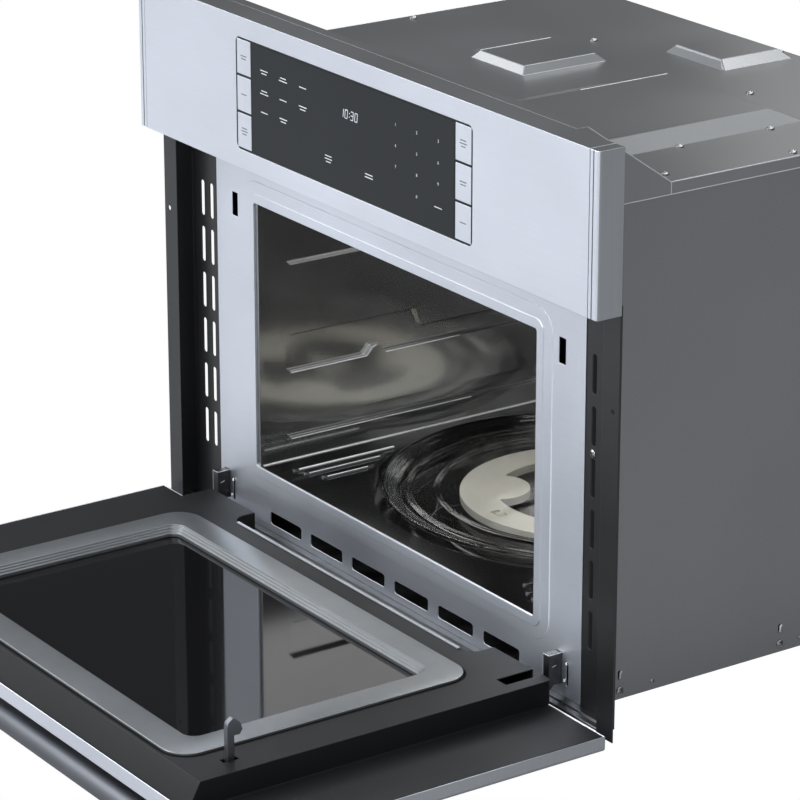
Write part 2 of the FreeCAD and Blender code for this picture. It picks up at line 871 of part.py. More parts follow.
def cavity_ceiling():
    parts = [
        box(-cavity_half, cavity_half, cavity_front_y, cavity_back_y, ceiling_z, deck_z),
        box(-cavity_half, cavity_half, cavity_front_y, cavity_front_y + cavity_sheet, deck_z,
            deck_z + cavity_flange),
    ]
    cuts = [box(port_x - port_length / 2, port_x + port_length / 2, table_y - port_width / 2,
                table_y + port_width / 2, ceiling_z - 1, deck_z + 1)]
    for ring in range(6):
        turn = math.radians(60 * ring)
        cuts.append(rod("Z", lamp_x + 8 * math.cos(turn), table_y + 8 * math.sin(turn), ceiling_z - 1,
                        deck_z + 1, 2.5))
    return joined(parts).cut(cuts)


def cavity_rear():
    back = box(-cavity_half - cavity_sheet, cavity_half + cavity_sheet, cavity_back_y,
               cavity_back_y + cavity_sheet, cavity_floor_z - cavity_sheet, deck_z)
    cuts = []
    for i in range(12):
        slot = slab("Y", 30, 62, -3.5, 3.5, cavity_back_y - 1, cavity_back_y + cavity_sheet + 1, 3.2)
        slot.rotate(FreeCAD.Vector(0, 0, 0), FreeCAD.Vector(0, 1, 0), 30 * i)
        slot.translate(FreeCAD.Vector(0, 0, fan_z))
        cuts.append(slot)
    return back.cut(cuts)


# Microwave feed: port cover, waveguide on the deck, magnetron on the waveguide
def waveguide_cover():
    half_x = port_length / 2 + port_lap
    half_y = port_width / 2 + port_lap
    return slab("Z", port_x - half_x, port_x + half_x, table_y - half_y, table_y + half_y, ceiling_z - 1,
                ceiling_z, 6)


def waveguide():
    half = port_width / 2 + guide_side
    x0 = port_x - port_length / 2 - guide_wall
    x1 = x0 + guide_length
    duct = box(x0, x1, table_y - half, table_y + half, deck_z, deck_z + guide_height)
    duct = duct.cut(box(x0 + guide_wall, x1 - guide_wall, table_y - half + guide_wall,
                        table_y + half - guide_wall,
                        deck_z + guide_wall, deck_z + guide_height - guide_wall))
    mouth = box(x0 + guide_wall, x0 + guide_wall + port_length, table_y - port_width / 2,
                table_y + port_width / 2,
                deck_z - 1, deck_z + guide_wall + 1)
    hole = rod("Z", tube_x, table_y, deck_z + guide_height - guide_wall - 1, deck_z + guide_height + 1,
               antenna_radius + 3)
    return duct.cut([mouth, hole])


def magnetron():
    low = deck_z + guide_height
    high = low + tube_height
    x0 = tube_x - tube_width / 2
    x1 = tube_x + tube_width / 2
    y0 = table_y - tube_depth / 2
    y1 = table_y + tube_depth / 2
    half = tube_cap / 2
    yoke = box(x0, x1, y0, y1, low, high)
    yoke = yoke.cut(box(x0 + tube_sheet, x1 - tube_sheet, y0 - 1, y1 + 1, low + tube_sheet,
                        high - tube_sheet))
    parts = [
        yoke,
        rod("Z", tube_x, table_y, low, high, tube_core),
        rod("Z", tube_x, table_y, low - antenna_length, low + tube_sheet, antenna_radius),
        box(tube_x - half, tube_x + half, table_y - half, table_y + half, high, high + tube_cap_height),
    ]
    for i in range(tube_fins):
        z = low + (i + 2) * tube_height / (tube_fins + 3)
        parts.append(box(x0 + tube_sheet / 2, x1 - tube_sheet / 2, y0 + tube_fin_inset,
                         y1 - tube_fin_inset, z,
                         z + tube_fin_sheet))
    return joined(parts)


def power_transformer():
    y = table_y + core_back
    y0 = y - core_width / 2
    y1 = y + core_width / 2
    core = box(core_x - core_length / 2, core_x + core_length / 2, y0, y1, deck_z, deck_z + core_height)
    reach = coil_length / 2 + 2
    for side in (-1, 1):
        middle = y + side * core_window
        core = core.cut(box(core_x - reach, core_x + reach, middle - core_window / 2,
                            middle + core_window / 2,
                            deck_z - 1, deck_z + coil_height + 8))
    coil = slab("X", y - coil_width / 2, y + coil_width / 2, deck_z + 4, deck_z + 4 + coil_height,
                core_x - coil_length / 2, core_x + coil_length / 2, 9)
    foot = box(core_x - core_foot / 2, core_x + core_foot / 2, y0, y1, deck_z, deck_z + 2)
    return joined([core, coil, foot])


# Cooling blower: scroll housing, bladed wheel and motor on one cross shaft
def blower_housing():
    x0 = blower_x - blower_width / 2
    x1 = blower_x + blower_width / 2
    parts = [
        rod("X", blower_y, blower_z, x0, x1, blower_radius),
        box(x0, x1, blower_y - blower_radius - blower_outlet, blower_y, deck_z,
            deck_z + blower_outlet_height),
        box(x0 - 12, x1 + 12, blower_y - 40, blower_y + 40, deck_z, deck_z + blower_foot + 0.1),
    ]
    hollow = [
        rod("X", blower_y, blower_z, x0 + blower_wall, x1 - blower_wall, blower_radius - blower_wall),
        box(x0 + blower_wall, x1 - blower_wall, blower_y - blower_radius - blower_outlet - 2, blower_y,
            deck_z + blower_foot + blower_wall + 0.1, deck_z + blower_outlet_height - blower_wall),
        rod("X", blower_y, blower_z, x0 - 1, x0 + 2, blower_wheel_radius - 10),
        rod("X", blower_y, blower_z, x1 - 2, x1 + 1, blower_shaft + 4),
    ]
    return joined(parts).cut(hollow)


def blower_wheel():
    x0 = blower_x - blower_width / 2 + blower_wheel_gap
    x1 = blower_x + blower_width / 2 - blower_wheel_gap
    rim = rod("X", blower_y, blower_z, x0, x0 + 2, blower_wheel_radius)
    rim = rim.cut(rod("X", blower_y, blower_z, x0 - 1, x0 + 3, blower_wheel_radius - 9))
    parts = [
        rim,
        rod("X", blower_y, blower_z, x1 - 2, x1, blower_wheel_radius),
        rod("X", blower_y, blower_z, x1 - 20, x1, blower_hub),
    ]
    for i in range(blower_blades):
        tip = blower_y + blower_wheel_radius - 0.5
        blade = box(x0, x1, tip - blower_blade, tip, blower_z - 0.7, blower_z + 0.7)
        blade.rotate(FreeCAD.Vector(0, blower_y, blower_z), FreeCAD.Vector(1, 0, 0),
                     360 / blower_blades * i)
        parts.append(blade)
    return joined(parts).cut(rod("X", blower_y, blower_z, x0 - 1, x1 + 1, blower_shaft + run_gap))


def blower_motor():
    x1 = blower_x + blower_width / 2
    parts = [
        rod("X", blower_y, blower_z, x1, x1 + blower_motor_length, blower_motor_radius),
        slab("X", blower_y - blower_motor_radius - 9, blower_y + blower_motor_radius + 9, blower_z - 20,
             blower_z + 20, x1, x1 + 3, 8),
        rod("X", blower_y, blower_z, x1 - 24, x1 + 1, blower_shaft),
    ]
    return joined(parts)


# Convection set behind the cavity: pan, fan, ring heater and motor in line on Y
def convection_housing():
    pan = slab("Y", -pan_half, pan_half, fan_z - pan_half, fan_z + pan_half, pan_front_y, pan_back_y,
               pan_corner)
    pan = pan.cut(slab("Y", -pan_half + pan_sheet, pan_half - pan_sheet, fan_z - pan_half + pan_sheet,
                       fan_z + pan_half - pan_sheet, pan_front_y - 1, pan_back_y - pan_sheet,
                       pan_corner - pan_sheet))
    return pan.cut(rod("Y", 0, fan_z, pan_back_y - 2, pan_back_y + 1, fan_shaft + 4))


def convection_fan():
    y0 = pan_front_y + fan_gap
    y1 = pan_back_y - fan_gap - 2
    parts = [
        rod("Y", 0, fan_z, y1 - 1.2, y1, fan_radius - 4),
        rod("Y", 0, fan_z, y0 + 4, y1, fan_hub),
    ]
    for i in range(fan_blades):
        points = [(10, y1 - 1), (fan_radius, y1 - 1), (fan_radius, y0 + 3), (fan_sweep, y0), (10, y1 - 7)]
        blade = prism("Z", points, -0.6, 0.6)
        blade.rotate(FreeCAD.Vector(0, 0, 0), FreeCAD.Vector(0, 1, 0), 360 / fan_blades * i)
        blade.translate(FreeCAD.Vector(0, 0, fan_z))
        parts.append(blade)
    return joined(parts).cut(rod("Y", 0, fan_z, y0 - 1, y1 + 1, fan_shaft + run_gap))


def convection_heater():
    y = pan_front_y + heater_setback
    ring = Part.makeTorus(heater_radius, heater_rod, FreeCAD.Vector(0, y, fan_z), FreeCAD.Vector(0, 1, 0))
    legs = []
    for side in (-1, 1):
        rise = math.sqrt(heater_radius ** 2 - heater_leg ** 2)
        legs.append(rod("Y", side * heater_leg, fan_z + rise, y, pan_back_y - pan_sheet, heater_rod - 0.2))
    return joined([ring] + legs)


def convection_motor():
    parts = [
        slab("Y", -fan_motor_radius - 10, fan_motor_radius + 10, fan_z - 15, fan_z + 15, pan_back_y,
             pan_back_y + 2, 6),
        rod("Y", 0, fan_z, pan_back_y, pan_back_y + fan_motor_length, fan_motor_radius),
        rod("Y", 0, fan_z, pan_front_y + 10, pan_back_y + 1, fan_shaft),
    ]
    return joined(parts)


def cavity_lamp():
    parts = [
        slab("Z", lamp_x - 24, lamp_x + 24, table_y - 18, table_y + 18, deck_z, deck_z + 1.5, 5),
        rod("Z", lamp_x, table_y, deck_z, deck_z + lamp_height, lamp_radius),
    ]
    shade = rod("Z", lamp_x, table_y, deck_z - 1, deck_z + lamp_height - 6, lamp_radius - 1.5)
    high = deck_z + lamp_height - 4
    bulb = turned(lamp_x, table_y, [(0, high - 30), (7, high - 24), (8, high - 16), (4.5, high - 8),
                                    (4.5, high),
                                    (0, high)])
    return joined([joined(parts).cut(shade), bulb])


# Turntable: glass tray, hub, roller ring with three rollers, and the motor under the well
def turntable_tray():
    r = tray_radius
    lip = r - tray_rim_wide
    points = [
        (0, tray_z),
        (lip, tray_z),
        (r, tray_z + tray_rim - tray_thick),
        (r, tray_z + tray_rim),
        (r - 3, tray_z + tray_rim),
        (lip - 3, tray_z + tray_thick),
        (0, tray_z + tray_thick),
    ]
    return turned(0, table_y, points)


def turntable_coupler():
    low = well_z + 1
    half = coupler_arm / 2
    foot_z = tray_z - coupler_thick
    parts = [rod("Z", 0, table_y, low, tray_z, hub_radius)]
    for i in range(3):
        arm = box(-half, coupler_radius - half, -half, half, foot_z, tray_z)
        arm = arm.fuse(rod("Z", coupler_radius - half, 0, foot_z, tray_z, half))
        arm.rotate(FreeCAD.Vector(0, 0, 0), FreeCAD.Vector(0, 0, 1), 120 * i)
        arm.translate(FreeCAD.Vector(0, table_y, 0))
        parts.append(arm)
    return joined(parts).cut(rod("Z", 0, table_y, low - 1, well_z + shaft_length + 1,
                                 shaft_radius + run_gap))


def turntable_motor():
    top = well_z - cavity_sheet
    parts = [
        slab("Z", -motor_length / 2, motor_length / 2, table_y - motor_width / 2, table_y + motor_width / 2,
             top - motor_height, top, 10),
        rod("Z", 0, table_y, top - 1, well_z + shaft_length, shaft_radius),
    ]
    return joined(parts)


def around_table(shape, turn):
    shape.rotate(FreeCAD.Vector(0, 0, 0), FreeCAD.Vector(0, 0, 1), turn)
    shape.translate(FreeCAD.Vector(0, table_y, 0))
    return shape


def roller_ring():
    low = tray_z - ring_clear - ring_thick
    ring = rod("Z", 0, table_y, low, low + ring_thick, ring_outer)
    ring = ring.cut(rod("Z", 0, table_y, low - 1, low + ring_thick + 1, ring_inner))
    for turn in lobe_turns:
        lobe = Part.makeCylinder(lobe_radius, ring_thick, FreeCAD.Vector(lobe_orbit, 0, low))
        ring = ring.fuse(around_table(lobe, turn))
    for turn in roller_turns:
        slot = box(roller_orbit - roller_width / 2 - 0.6, roller_orbit + roller_width / 2 + 0.6,
                   -roller_radius - 1, roller_radius + 1, low - 1, low + ring_thick + 1)
        ring = ring.cut(around_table(slot, turn))
    for turn in roller_turns:
        axle = rod("X", 0, roller_z, roller_orbit - roller_width / 2 - 2,
                   roller_orbit + roller_width / 2 + 2,
                   roller_bore)
        ring = ring.fuse(around_table(axle, turn))
    return ring


def roller(turn):
    x0 = roller_orbit - roller_width / 2
    x1 = roller_orbit + roller_width / 2
    wheel = rod("X", 0, roller_z, x0, x1, roller_radius)
    return around_table(wheel.cut(rod("X", 0, roller_z, x0 - 1, x1 + 1, roller_bore + run_gap)), turn)


# Hinge arm: a folded channel through the plate with two ears round the hinge pin
def hinge_arm(x):
    front = plate_front_y - arm_reach
    back = plate_back_y + arm_back
    side = [
        (back, arm_top_z),
        (front, arm_top_z),
        (front, arm_low_z + 6),
        (pivot_y - arm_nose * 0.6, pivot_z + arm_nose * 0.8),
        (pivot_y + arm_nose * 0.6, pivot_z - arm_nose * 0.8),
        (front + 6, arm_low_z),
        (back, arm_low_z),
    ]
    x0 = x - arm_width / 2
    x1 = x + arm_width / 2
    body = prism("X", side, x0, x1).fuse(rod("X", pivot_y, pivot_z, x0, x1, arm_nose))
    body = body.cut(box(x0 + arm_ear, x1 - arm_ear, pivot_y - arm_nose - 5, plate_back_y, arm_low_z - 40,
                        arm_top_z + 5))
    web = box(x0, x1, front, front + arm_ear, arm_low_z + 6, arm_top_z)
    lid = box(x0, x1, front, plate_back_y, arm_top_z - arm_ear, arm_top_z)
    foot = box(x0 - 2, x1 + 2, plate_back_y, plate_back_y + arm_ear, arm_low_z - arm_foot + 2,
               arm_top_z + arm_foot)
    body = joined([body, web, lid, foot])
    return body.cut(rod("X", pivot_y, pivot_z, x0 - 5, x1 + 5, pin_radius + run_gap))


# Door side of the hinge: a channel on the outer panel with the pin riveted between its ears
def hinge_channel(x):
    floor_y = face_y + door_sheet
    inner = arm_width / 2 + channel_gap
    outer = inner + channel_wall
    low = door_bottom_z + door_sheet + fit_gap
    wall_y = flange_y - liner_wall - fit_gap
    parts = [
        box(x - outer, x + outer, floor_y, floor_y + channel_wall, low, low + channel_length),
        rod("X", pivot_y, pivot_z, x - outer, x + outer, pin_radius),
    ]
    for side in (-1, 1):
        x0 = min(x + side * inner, x + side * outer)
        x1 = max(x + side * inner, x + side * outer)
        parts.append(box(x0, x1, floor_y, wall_y, low, low + channel_length))
        parts.append(box(x0, x1, floor_y, pivot_y, low, pivot_z + channel_nose))
        parts.append(rod("X", pivot_y, pivot_z, x0, x1, channel_nose))
    return joined(parts)


def hinge_notch(x, start_y):
    return box(x - notch_half, x + notch_half, start_y, choke_y + 10, plateau_bottom_z - 20, notch_top_z)


# Door shell: outer tray with window, inner cover with its raised plateau
def door_panel():
    def tray(inset, front):
        r = end_corner - inset
        shape = slab("Z", -half_width + inset, half_width - inset, front, flange_y + 30,
                     door_bottom_z + inset,
                     door_top_z - inset, r)
        return shape.common(box(-half_width, half_width, front, flange_y + (5 if inset else 0),
                                door_bottom_z,
                                door_top_z))
    panel = tray(0, face_y).cut(tray(door_sheet, face_y + door_sheet))
    window = slab("Y", -window_half, window_half, window_bottom_z, window_top_z, face_y - 1,
                  face_y + door_sheet + 1, window_corner)
    notches = [hinge_notch(x, face_y + notch_floor) for x in (hinge_left_x, hinge_right_x)]
    return panel.cut([window] + notches)


def door_outer_glass():
    return slab("Y", -window_half - window_seat, window_half + window_seat, window_bottom_z - window_seat,
                window_top_z + window_seat, face_y + door_sheet, face_y + door_sheet + glass_thick,
                window_corner)


def glass_slab(grow, y0, y1):
    return slab("Y", -glass_half_width - grow, glass_half_width + grow, glass_low_z - grow,
                glass_high_z + grow,
                y0, y1, choke_corner / 2)


def hook_ears(x):
    parts = []
    for side in (-1, 1):
        x0 = x + side * (hook_thick / 2 + fit_gap)
        x1 = x0 + side * hook_ear
        parts.append(box(min(x0, x1), max(x0, x1), hook_root_y - 5, plateau_y - liner_wall + 0.5,
                         hook_z - hook_shaft - 1, hook_z + 1))
    return joined(parts)


# Bay along the hinge side where the plateau stands back from the front plate
def hinge_bay(grow, start_y):
    return slab("Y", -lip_half - grow, lip_half + grow, plateau_bottom_z - 2 * bay_corner, lip_z + grow,
                start_y, plateau_y + 1, bay_corner + grow)


def door_liner():
    edge = door_sheet + fit_gap
    half = half_width - edge
    low = door_bottom_z + edge
    high = door_top_z - edge
    under_y = flange_y - liner_wall
    half_top = plateau_half
    skirt = box(-half, half, face_y + door_sheet + end_corner, flange_y, low, high)
    skirt = skirt.cut(box(-half + skirt_wall, half - skirt_wall, face_y, under_y, low - 1,
                          high - skirt_wall))
    toes = []
    for x in (-0.8 * half, 0, 0.8 * half):
        toes.append(box(x - 20, x + 20, face_y + door_sheet, face_y + door_sheet + end_corner,
                        high - skirt_wall,
                        high))
    plateau = slab("Y", -half_top, half_top, plateau_bottom_z, plateau_top_z, under_y, plateau_y,
                   plateau_corner)
    plateau = plateau.cut(hinge_bay(0, flange_y))
    # the free edge has no step: its side slopes from the plateau down to the flange
    start = plateau_top_z - plateau_corner
    slope = prism("X", [(under_y, start), (plateau_y, start), (plateau_y, plateau_top_z), (flange_y, high),
                        (under_y, high)], -half_top, half_top)
    back = plateau_y - liner_wall
    reach = high - skirt_wall - liner_wall
    hollow = prism("X", [(under_y - 1, start - 1), (back, start - 1), (back, plateau_top_z - liner_wall),
                         (flange_y, reach), (under_y - 1, reach)],
                   liner_wall - half_top, half_top - liner_wall)
    inside = slab("Y", -half_top + liner_wall, half_top - liner_wall, plateau_bottom_z + liner_wall,
                  plateau_top_z - liner_wall, under_y - 1, plateau_y - liner_wall,
                  plateau_corner - liner_wall)
    inside = inside.cut(hinge_bay(liner_wall, under_y - 2))
    seat = glass_slab(fit_gap + ledge_wall, glass_y - glass_thick - ledge_wall,
                      plateau_y - liner_wall + 0.5)
    parts = [skirt, plateau, slope] + toes
    liner = joined(parts).cut([inside, hollow]).fuse(seat)
    liner = joined([liner, hook_ears(-hook_x), hook_ears(hook_x)])
    cuts = [
        glass_slab(fit_gap, glass_y - glass_thick, plateau_y + 1),
        glass_slab(-ledge_lap, face_y, plateau_y + 1),
        box(-half_width, half_width, face_y, flange_y + fit_gap, plateau_bottom_z - 1, low),
    ]
    for x in (hinge_left_x, hinge_right_x):
        cuts.append(hinge_notch(x, face_y))
    for x in (-hook_x, hook_x):
        cuts.append(box(x - hook_thick / 2 - fit_gap, x + hook_thick / 2 + fit_gap,
                        plateau_y - liner_wall - 1,
                        plateau_y + 1, hook_z - hook_shaft - hook_swing, hook_z + hook_swing))
        cuts.append(rod("X", hook_root_y, hook_z - hook_shaft / 2, x - 12, x + 12, hook_pin + run_gap))
    return liner.cut(cuts)


# Grey choke ring: a flat band, then round steps down to the inner glass
def choke_ring():
    half = choke_half
    inner_x = half - band_side
    low = choke_bottom_z + band_bottom
    high = choke_top_z - band_top
    ring = slab("Y", -half, half, choke_bottom_z, choke_top_z, plateau_y, choke_y, choke_corner)
    ring = ring.cut(slab("Y", -inner_x, inner_x, low, high, plateau_y - 1, choke_y + 1, choke_corner / 2))
    for k in range(step_count):
        lap = 0.5 if k == 0 else 0.0
        a = k * step_run - lap
        b = (k + 1) * step_run
        top = choke_y - (k + 1) * step_drop
        step = slab("Y", -inner_x + a, inner_x - a, low + a, high - a, glass_y, top, choke_corner / 2)
        step = step.cut(slab("Y", -inner_x + b, inner_x - b, low + b, high - b, glass_y - 1, top + 1,
                             choke_corner / 2 - 2))
        ring = ring.fuse(step)
    return ring


def door_lip():
    half = lip_half - bay_corner
    fin = box(-half, half, plateau_y, plateau_y + lip_height, lip_z, lip_z + lip_sheet)
    foot = box(-half, half, plateau_y, plateau_y + lip_sheet, lip_z, lip_z + lip_foot)
    return fin.fuse(foot)


# Bar handle on two posts
def handle_bar():
    bar = rod("X", handle_y, handle_z, -handle_half, handle_half, handle_radius)
    ends = [edge for edge in bar.Edges if abs(edge.Length - 2 * math.pi * handle_radius) < 0.1]
    return bar.makeFillet(handle_radius * 0.35, ends)


def handle_posts():
    bar = rod("X", handle_y, handle_z, -2 * handle_half, 2 * handle_half, handle_radius + run_gap)
    posts = []
    for side in (-1, 1):
        x = side * post_x
        posts.append(rod("Y", x, handle_z, handle_y, face_y, post_radius).cut(bar))
    return Part.makeCompound(posts)


# Latch hook lying on its pivot pin, barb down when the door is shut
def latch_hook(x):
    tip = hook_root_y + hook_reach
    low = hook_z - hook_shaft
    side = [
        (hook_root_y, low),
        (tip - hook_head, low),
        (tip - hook_head, low - hook_barb + 3),
        (tip - hook_head + 4, low - hook_barb),
        (tip - 6, low - hook_barb + 2),
        (tip, low + 1),
        (tip - 4, hook_z - 1),
        (tip - 8, hook_z),
        (hook_root_y, hook_z),
    ]
    parts = [
        prism("X", side, x - hook_thick / 2, x + hook_thick / 2),
        rod("X", hook_root_y, hook_z - hook_shaft / 2, x - hook_thick / 2, x + hook_thick / 2,
            hook_shaft / 2),
        rod("X", hook_root_y, hook_z - hook_shaft / 2, x - hook_thick / 2 - fit_gap - hook_ear,
            x + hook_thick / 2 + fit_gap + hook_ear, hook_pin),
    ]
    return joined(parts)


rail = side_rail()
side_sheet = casing_side()
cap = fascia_end()
wall = cavity_wall()

save("front_plate", front_plate())
save("rail_right", rail)
save("rail_left", mirrored(rail))
save("lower_trim", lower_trim())
save("casing_base", casing_base())
save("casing_side_right", side_sheet)
save("casing_side_left", mirrored(side_sheet))
save("casing_top", casing_top())
save("control_cover", control_cover())
save("casing_rear", casing_rear())
save("fascia_shell", fascia_shell())
save("fascia_end_right", cap)
save("fascia_end_left", mirrored(cap))
save("key_bezel", key_bezel())
save("control_glass", control_glass())
save("control_board", control_board())
for side_name, side in (("left", -1), ("right", 1)):
    for row in range(3):
        save("key_" + side_name + "_" + str(row + 1), steel_key(side, row))

save("cavity_wall_right", wall)
save("cavity_wall_left", mirrored(wall))
save("cavity_floor", cavity_floor())
save("cavity_ceiling", cavity_ceiling())
save("cavity_rear", cavity_rear())
save("waveguide_cover", waveguide_cover())
save("waveguide", waveguide())
save("magnetron", magnetron())
save("power_transformer", power_transformer())
save("blower_housing", blower_housing())
save("blower_wheel", blower_wheel())
save("blower_motor", blower_motor())
save("convection_housing", convection_housing())
save("convection_fan", convection_fan())
save("convection_heater", convection_heater())
save("convection_motor", convection_motor())
save("cavity_lamp", cavity_lamp())

save("turntable_tray", turntable_tray())
save("turntable_coupler", turntable_coupler())
save("turntable_motor", turntable_motor())
save("roller_ring", roller_ring())
for number, turn in enumerate(roller_turns):
    save("roller_" + str(number + 1), roller(turn))

save("hinge_arm_left", hinge_arm(hinge_left_x))
save("hinge_arm_right", hinge_arm(hinge_right_x))
save_door("hinge_channel_left", hinge_channel(hinge_left_x))
save_door("hinge_channel_right", hinge_channel(hinge_right_x))
save_door("door_panel", door_panel())
save_door("door_outer_glass", door_outer_glass())
save_door("door_liner", door_liner())
save_door("choke_ring", choke_ring())
save_door("door_inner_glass", glass_slab(0, glass_y - glass_thick, glass_y))
save_door("door_lip", door_lip())
save_door("handle_bar", handle_bar())
save_door("handle_posts", handle_posts())
save_door("latch_hook_left", latch_hook(-hook_x))
save_door("latch_hook_right", latch_hook(hook_x))
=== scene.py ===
import json
import math
import bmesh
import bpy
import numpy as np
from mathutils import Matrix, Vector


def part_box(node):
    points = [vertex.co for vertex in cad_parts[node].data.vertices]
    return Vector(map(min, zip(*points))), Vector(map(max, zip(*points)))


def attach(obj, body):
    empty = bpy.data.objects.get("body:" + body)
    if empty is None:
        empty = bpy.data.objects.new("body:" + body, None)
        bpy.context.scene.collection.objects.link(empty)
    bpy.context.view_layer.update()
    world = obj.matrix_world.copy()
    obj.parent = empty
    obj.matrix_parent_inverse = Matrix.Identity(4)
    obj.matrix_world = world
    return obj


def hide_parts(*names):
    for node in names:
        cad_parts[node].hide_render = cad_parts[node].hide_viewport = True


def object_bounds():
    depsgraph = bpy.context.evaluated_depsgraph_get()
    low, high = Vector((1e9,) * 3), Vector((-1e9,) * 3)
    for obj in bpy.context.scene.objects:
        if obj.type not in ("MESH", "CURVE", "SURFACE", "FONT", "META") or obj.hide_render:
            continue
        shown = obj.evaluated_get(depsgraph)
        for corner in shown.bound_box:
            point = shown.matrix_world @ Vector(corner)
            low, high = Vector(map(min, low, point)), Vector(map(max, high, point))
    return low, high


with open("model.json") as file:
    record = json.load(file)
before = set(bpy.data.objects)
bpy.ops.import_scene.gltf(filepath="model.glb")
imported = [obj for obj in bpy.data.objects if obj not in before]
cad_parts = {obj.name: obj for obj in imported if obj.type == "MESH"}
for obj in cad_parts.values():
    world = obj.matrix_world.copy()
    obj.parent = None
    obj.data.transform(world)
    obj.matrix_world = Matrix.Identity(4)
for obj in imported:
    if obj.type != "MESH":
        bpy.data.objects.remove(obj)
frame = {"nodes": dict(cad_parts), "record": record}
cadLow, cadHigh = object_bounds()
nodes = frame["nodes"]
slotOf = {part["node"]: part["material_slot"] for part in frame["record"]["subparts"]}
print("frame loaded:", len(nodes), "nodes")

# sheet thicknesses, and reference planes that are read from the frame, in metres
mm = 0.001
lidSheet, frontSheet = 1.0 * mm, 1.2 * mm
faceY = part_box("fascia_shell")[0].y
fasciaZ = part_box("fascia_shell")[0].z
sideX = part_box("casing_side_right")[1].x
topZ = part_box("casing_side_right")[1].z + lidSheet
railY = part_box("rail_right")[1].y - frontSheet
# the oven's two sides, as sign of x and name
sides = ((-1, "left"), (1, "right"))


def atFace(x, y, z):
    # a place in millimetres from the middle of the fascia's lower front edge
    return np.array([x * mm, faceY + y * mm, fasciaZ + z * mm])


# shared shader effects, one node group each
def newGroup(name, inputs, outputs):
    tree = bpy.data.node_groups.new(name, "ShaderNodeTree")
    for label, kind in inputs.items():
        tree.interface.new_socket(name=label, in_out="INPUT", socket_type="NodeSocket" + kind)
    for label in outputs:
        tree.interface.new_socket(name=label, in_out="OUTPUT", socket_type="NodeSocketFloat")
    return tree, tree.nodes.new("NodeGroupInput"), tree.nodes.new("NodeGroupOutput")


def rampBetween(tree, value, ends, kind="SMOOTHSTEP"):
    ramp = tree.nodes.new("ShaderNodeMapRange")
    ramp.interpolation_type = kind
    ramp.inputs["From Min"].default_value = ends[0]
    ramp.inputs["From Max"].default_value = ends[1]
    tree.links.new(value, ramp.inputs["Value"])
    return ramp


def mathNode(tree, operation, first, second):
    node = tree.nodes.new("ShaderNodeMath")
    node.operation = operation
    tree.links.new(first, node.inputs[0])
    tree.links.new(second, node.inputs[1])
    return node.outputs["Value"]


# noise of the grain and of the patches, which lies near 0.5, so its middle stretch is used; then the shade of
# the darkest and the lightest patch
brushNoise = {"Scale": 1.0, "Detail": 3.0, "Roughness": 0.6}
patchNoise = {"Detail": 2.0}
noiseSpan = (0.25, 0.75)
patchShade = (0.95, 1.05)


def noiseNode(tree, place, look):
    noise = tree.nodes.new("ShaderNodeTexNoise")
    for label, value in look.items():
        noise.inputs[label].default_value = value
    tree.links.new(place, noise.inputs["Vector"])
    return noise


def spread(tree, value, low, high):
    # the noise's middle stretch goes softly over the range low to high
    ramp = rampBetween(tree, value, noiseSpan)
    for label, end in (("To Min", low), ("To Max", high)):
        if isinstance(end, bpy.types.NodeSocket):
            tree.links.new(end, ramp.inputs[label])
        else:
            ramp.inputs[label].default_value = end
    return ramp.outputs["Result"]


def brushGroup():
    # long thin noise: place times stretch, so one axis runs slowly and the others fast
    tree, start, end = newGroup("brushGrain", {"Place": "Vector", "Stretch": "Vector", "Dark": "Float",
                                               "Light": "Float"}, ["Height", "Shade"])
    scale = tree.nodes.new("ShaderNodeVectorMath")
    scale.operation = "MULTIPLY"
    tree.links.new(start.outputs["Place"], scale.inputs[0])
    tree.links.new(start.outputs["Stretch"], scale.inputs[1])
    noise = noiseNode(tree, scale.outputs["Vector"], brushNoise)
    tree.links.new(noise.outputs["Fac"], end.inputs["Height"])
    tree.links.new(spread(tree, noise.outputs["Fac"], start.outputs["Dark"], start.outputs["Light"]),
                   end.inputs["Shade"])
    return tree


def patchGroup():
    # wide soft patches of handling and uneven finish
    tree, start, end = newGroup("softPatches", {"Place": "Vector", "Size": "Float", "Low": "Float",
                                                "High": "Float"}, ["Patch", "Shade"])
    noise = noiseNode(tree, start.outputs["Place"], patchNoise)
    tree.links.new(start.outputs["Size"], noise.inputs["Scale"])
    tree.links.new(spread(tree, noise.outputs["Fac"], start.outputs["Low"], start.outputs["High"]),
                   end.inputs["Patch"])
    tree.links.new(spread(tree, noise.outputs["Fac"], *patchShade), end.inputs["Shade"])
    return tree


brushGrain = brushGroup()
softPatches = patchGroup()


def useGroup(tree, group, place, values):
    node = tree.nodes.new("ShaderNodeGroup")
    node.node_tree = group
    tree.links.new(place, node.inputs["Place"])
    for label, value in values.items():
        node.inputs[label].default_value = value
    return node


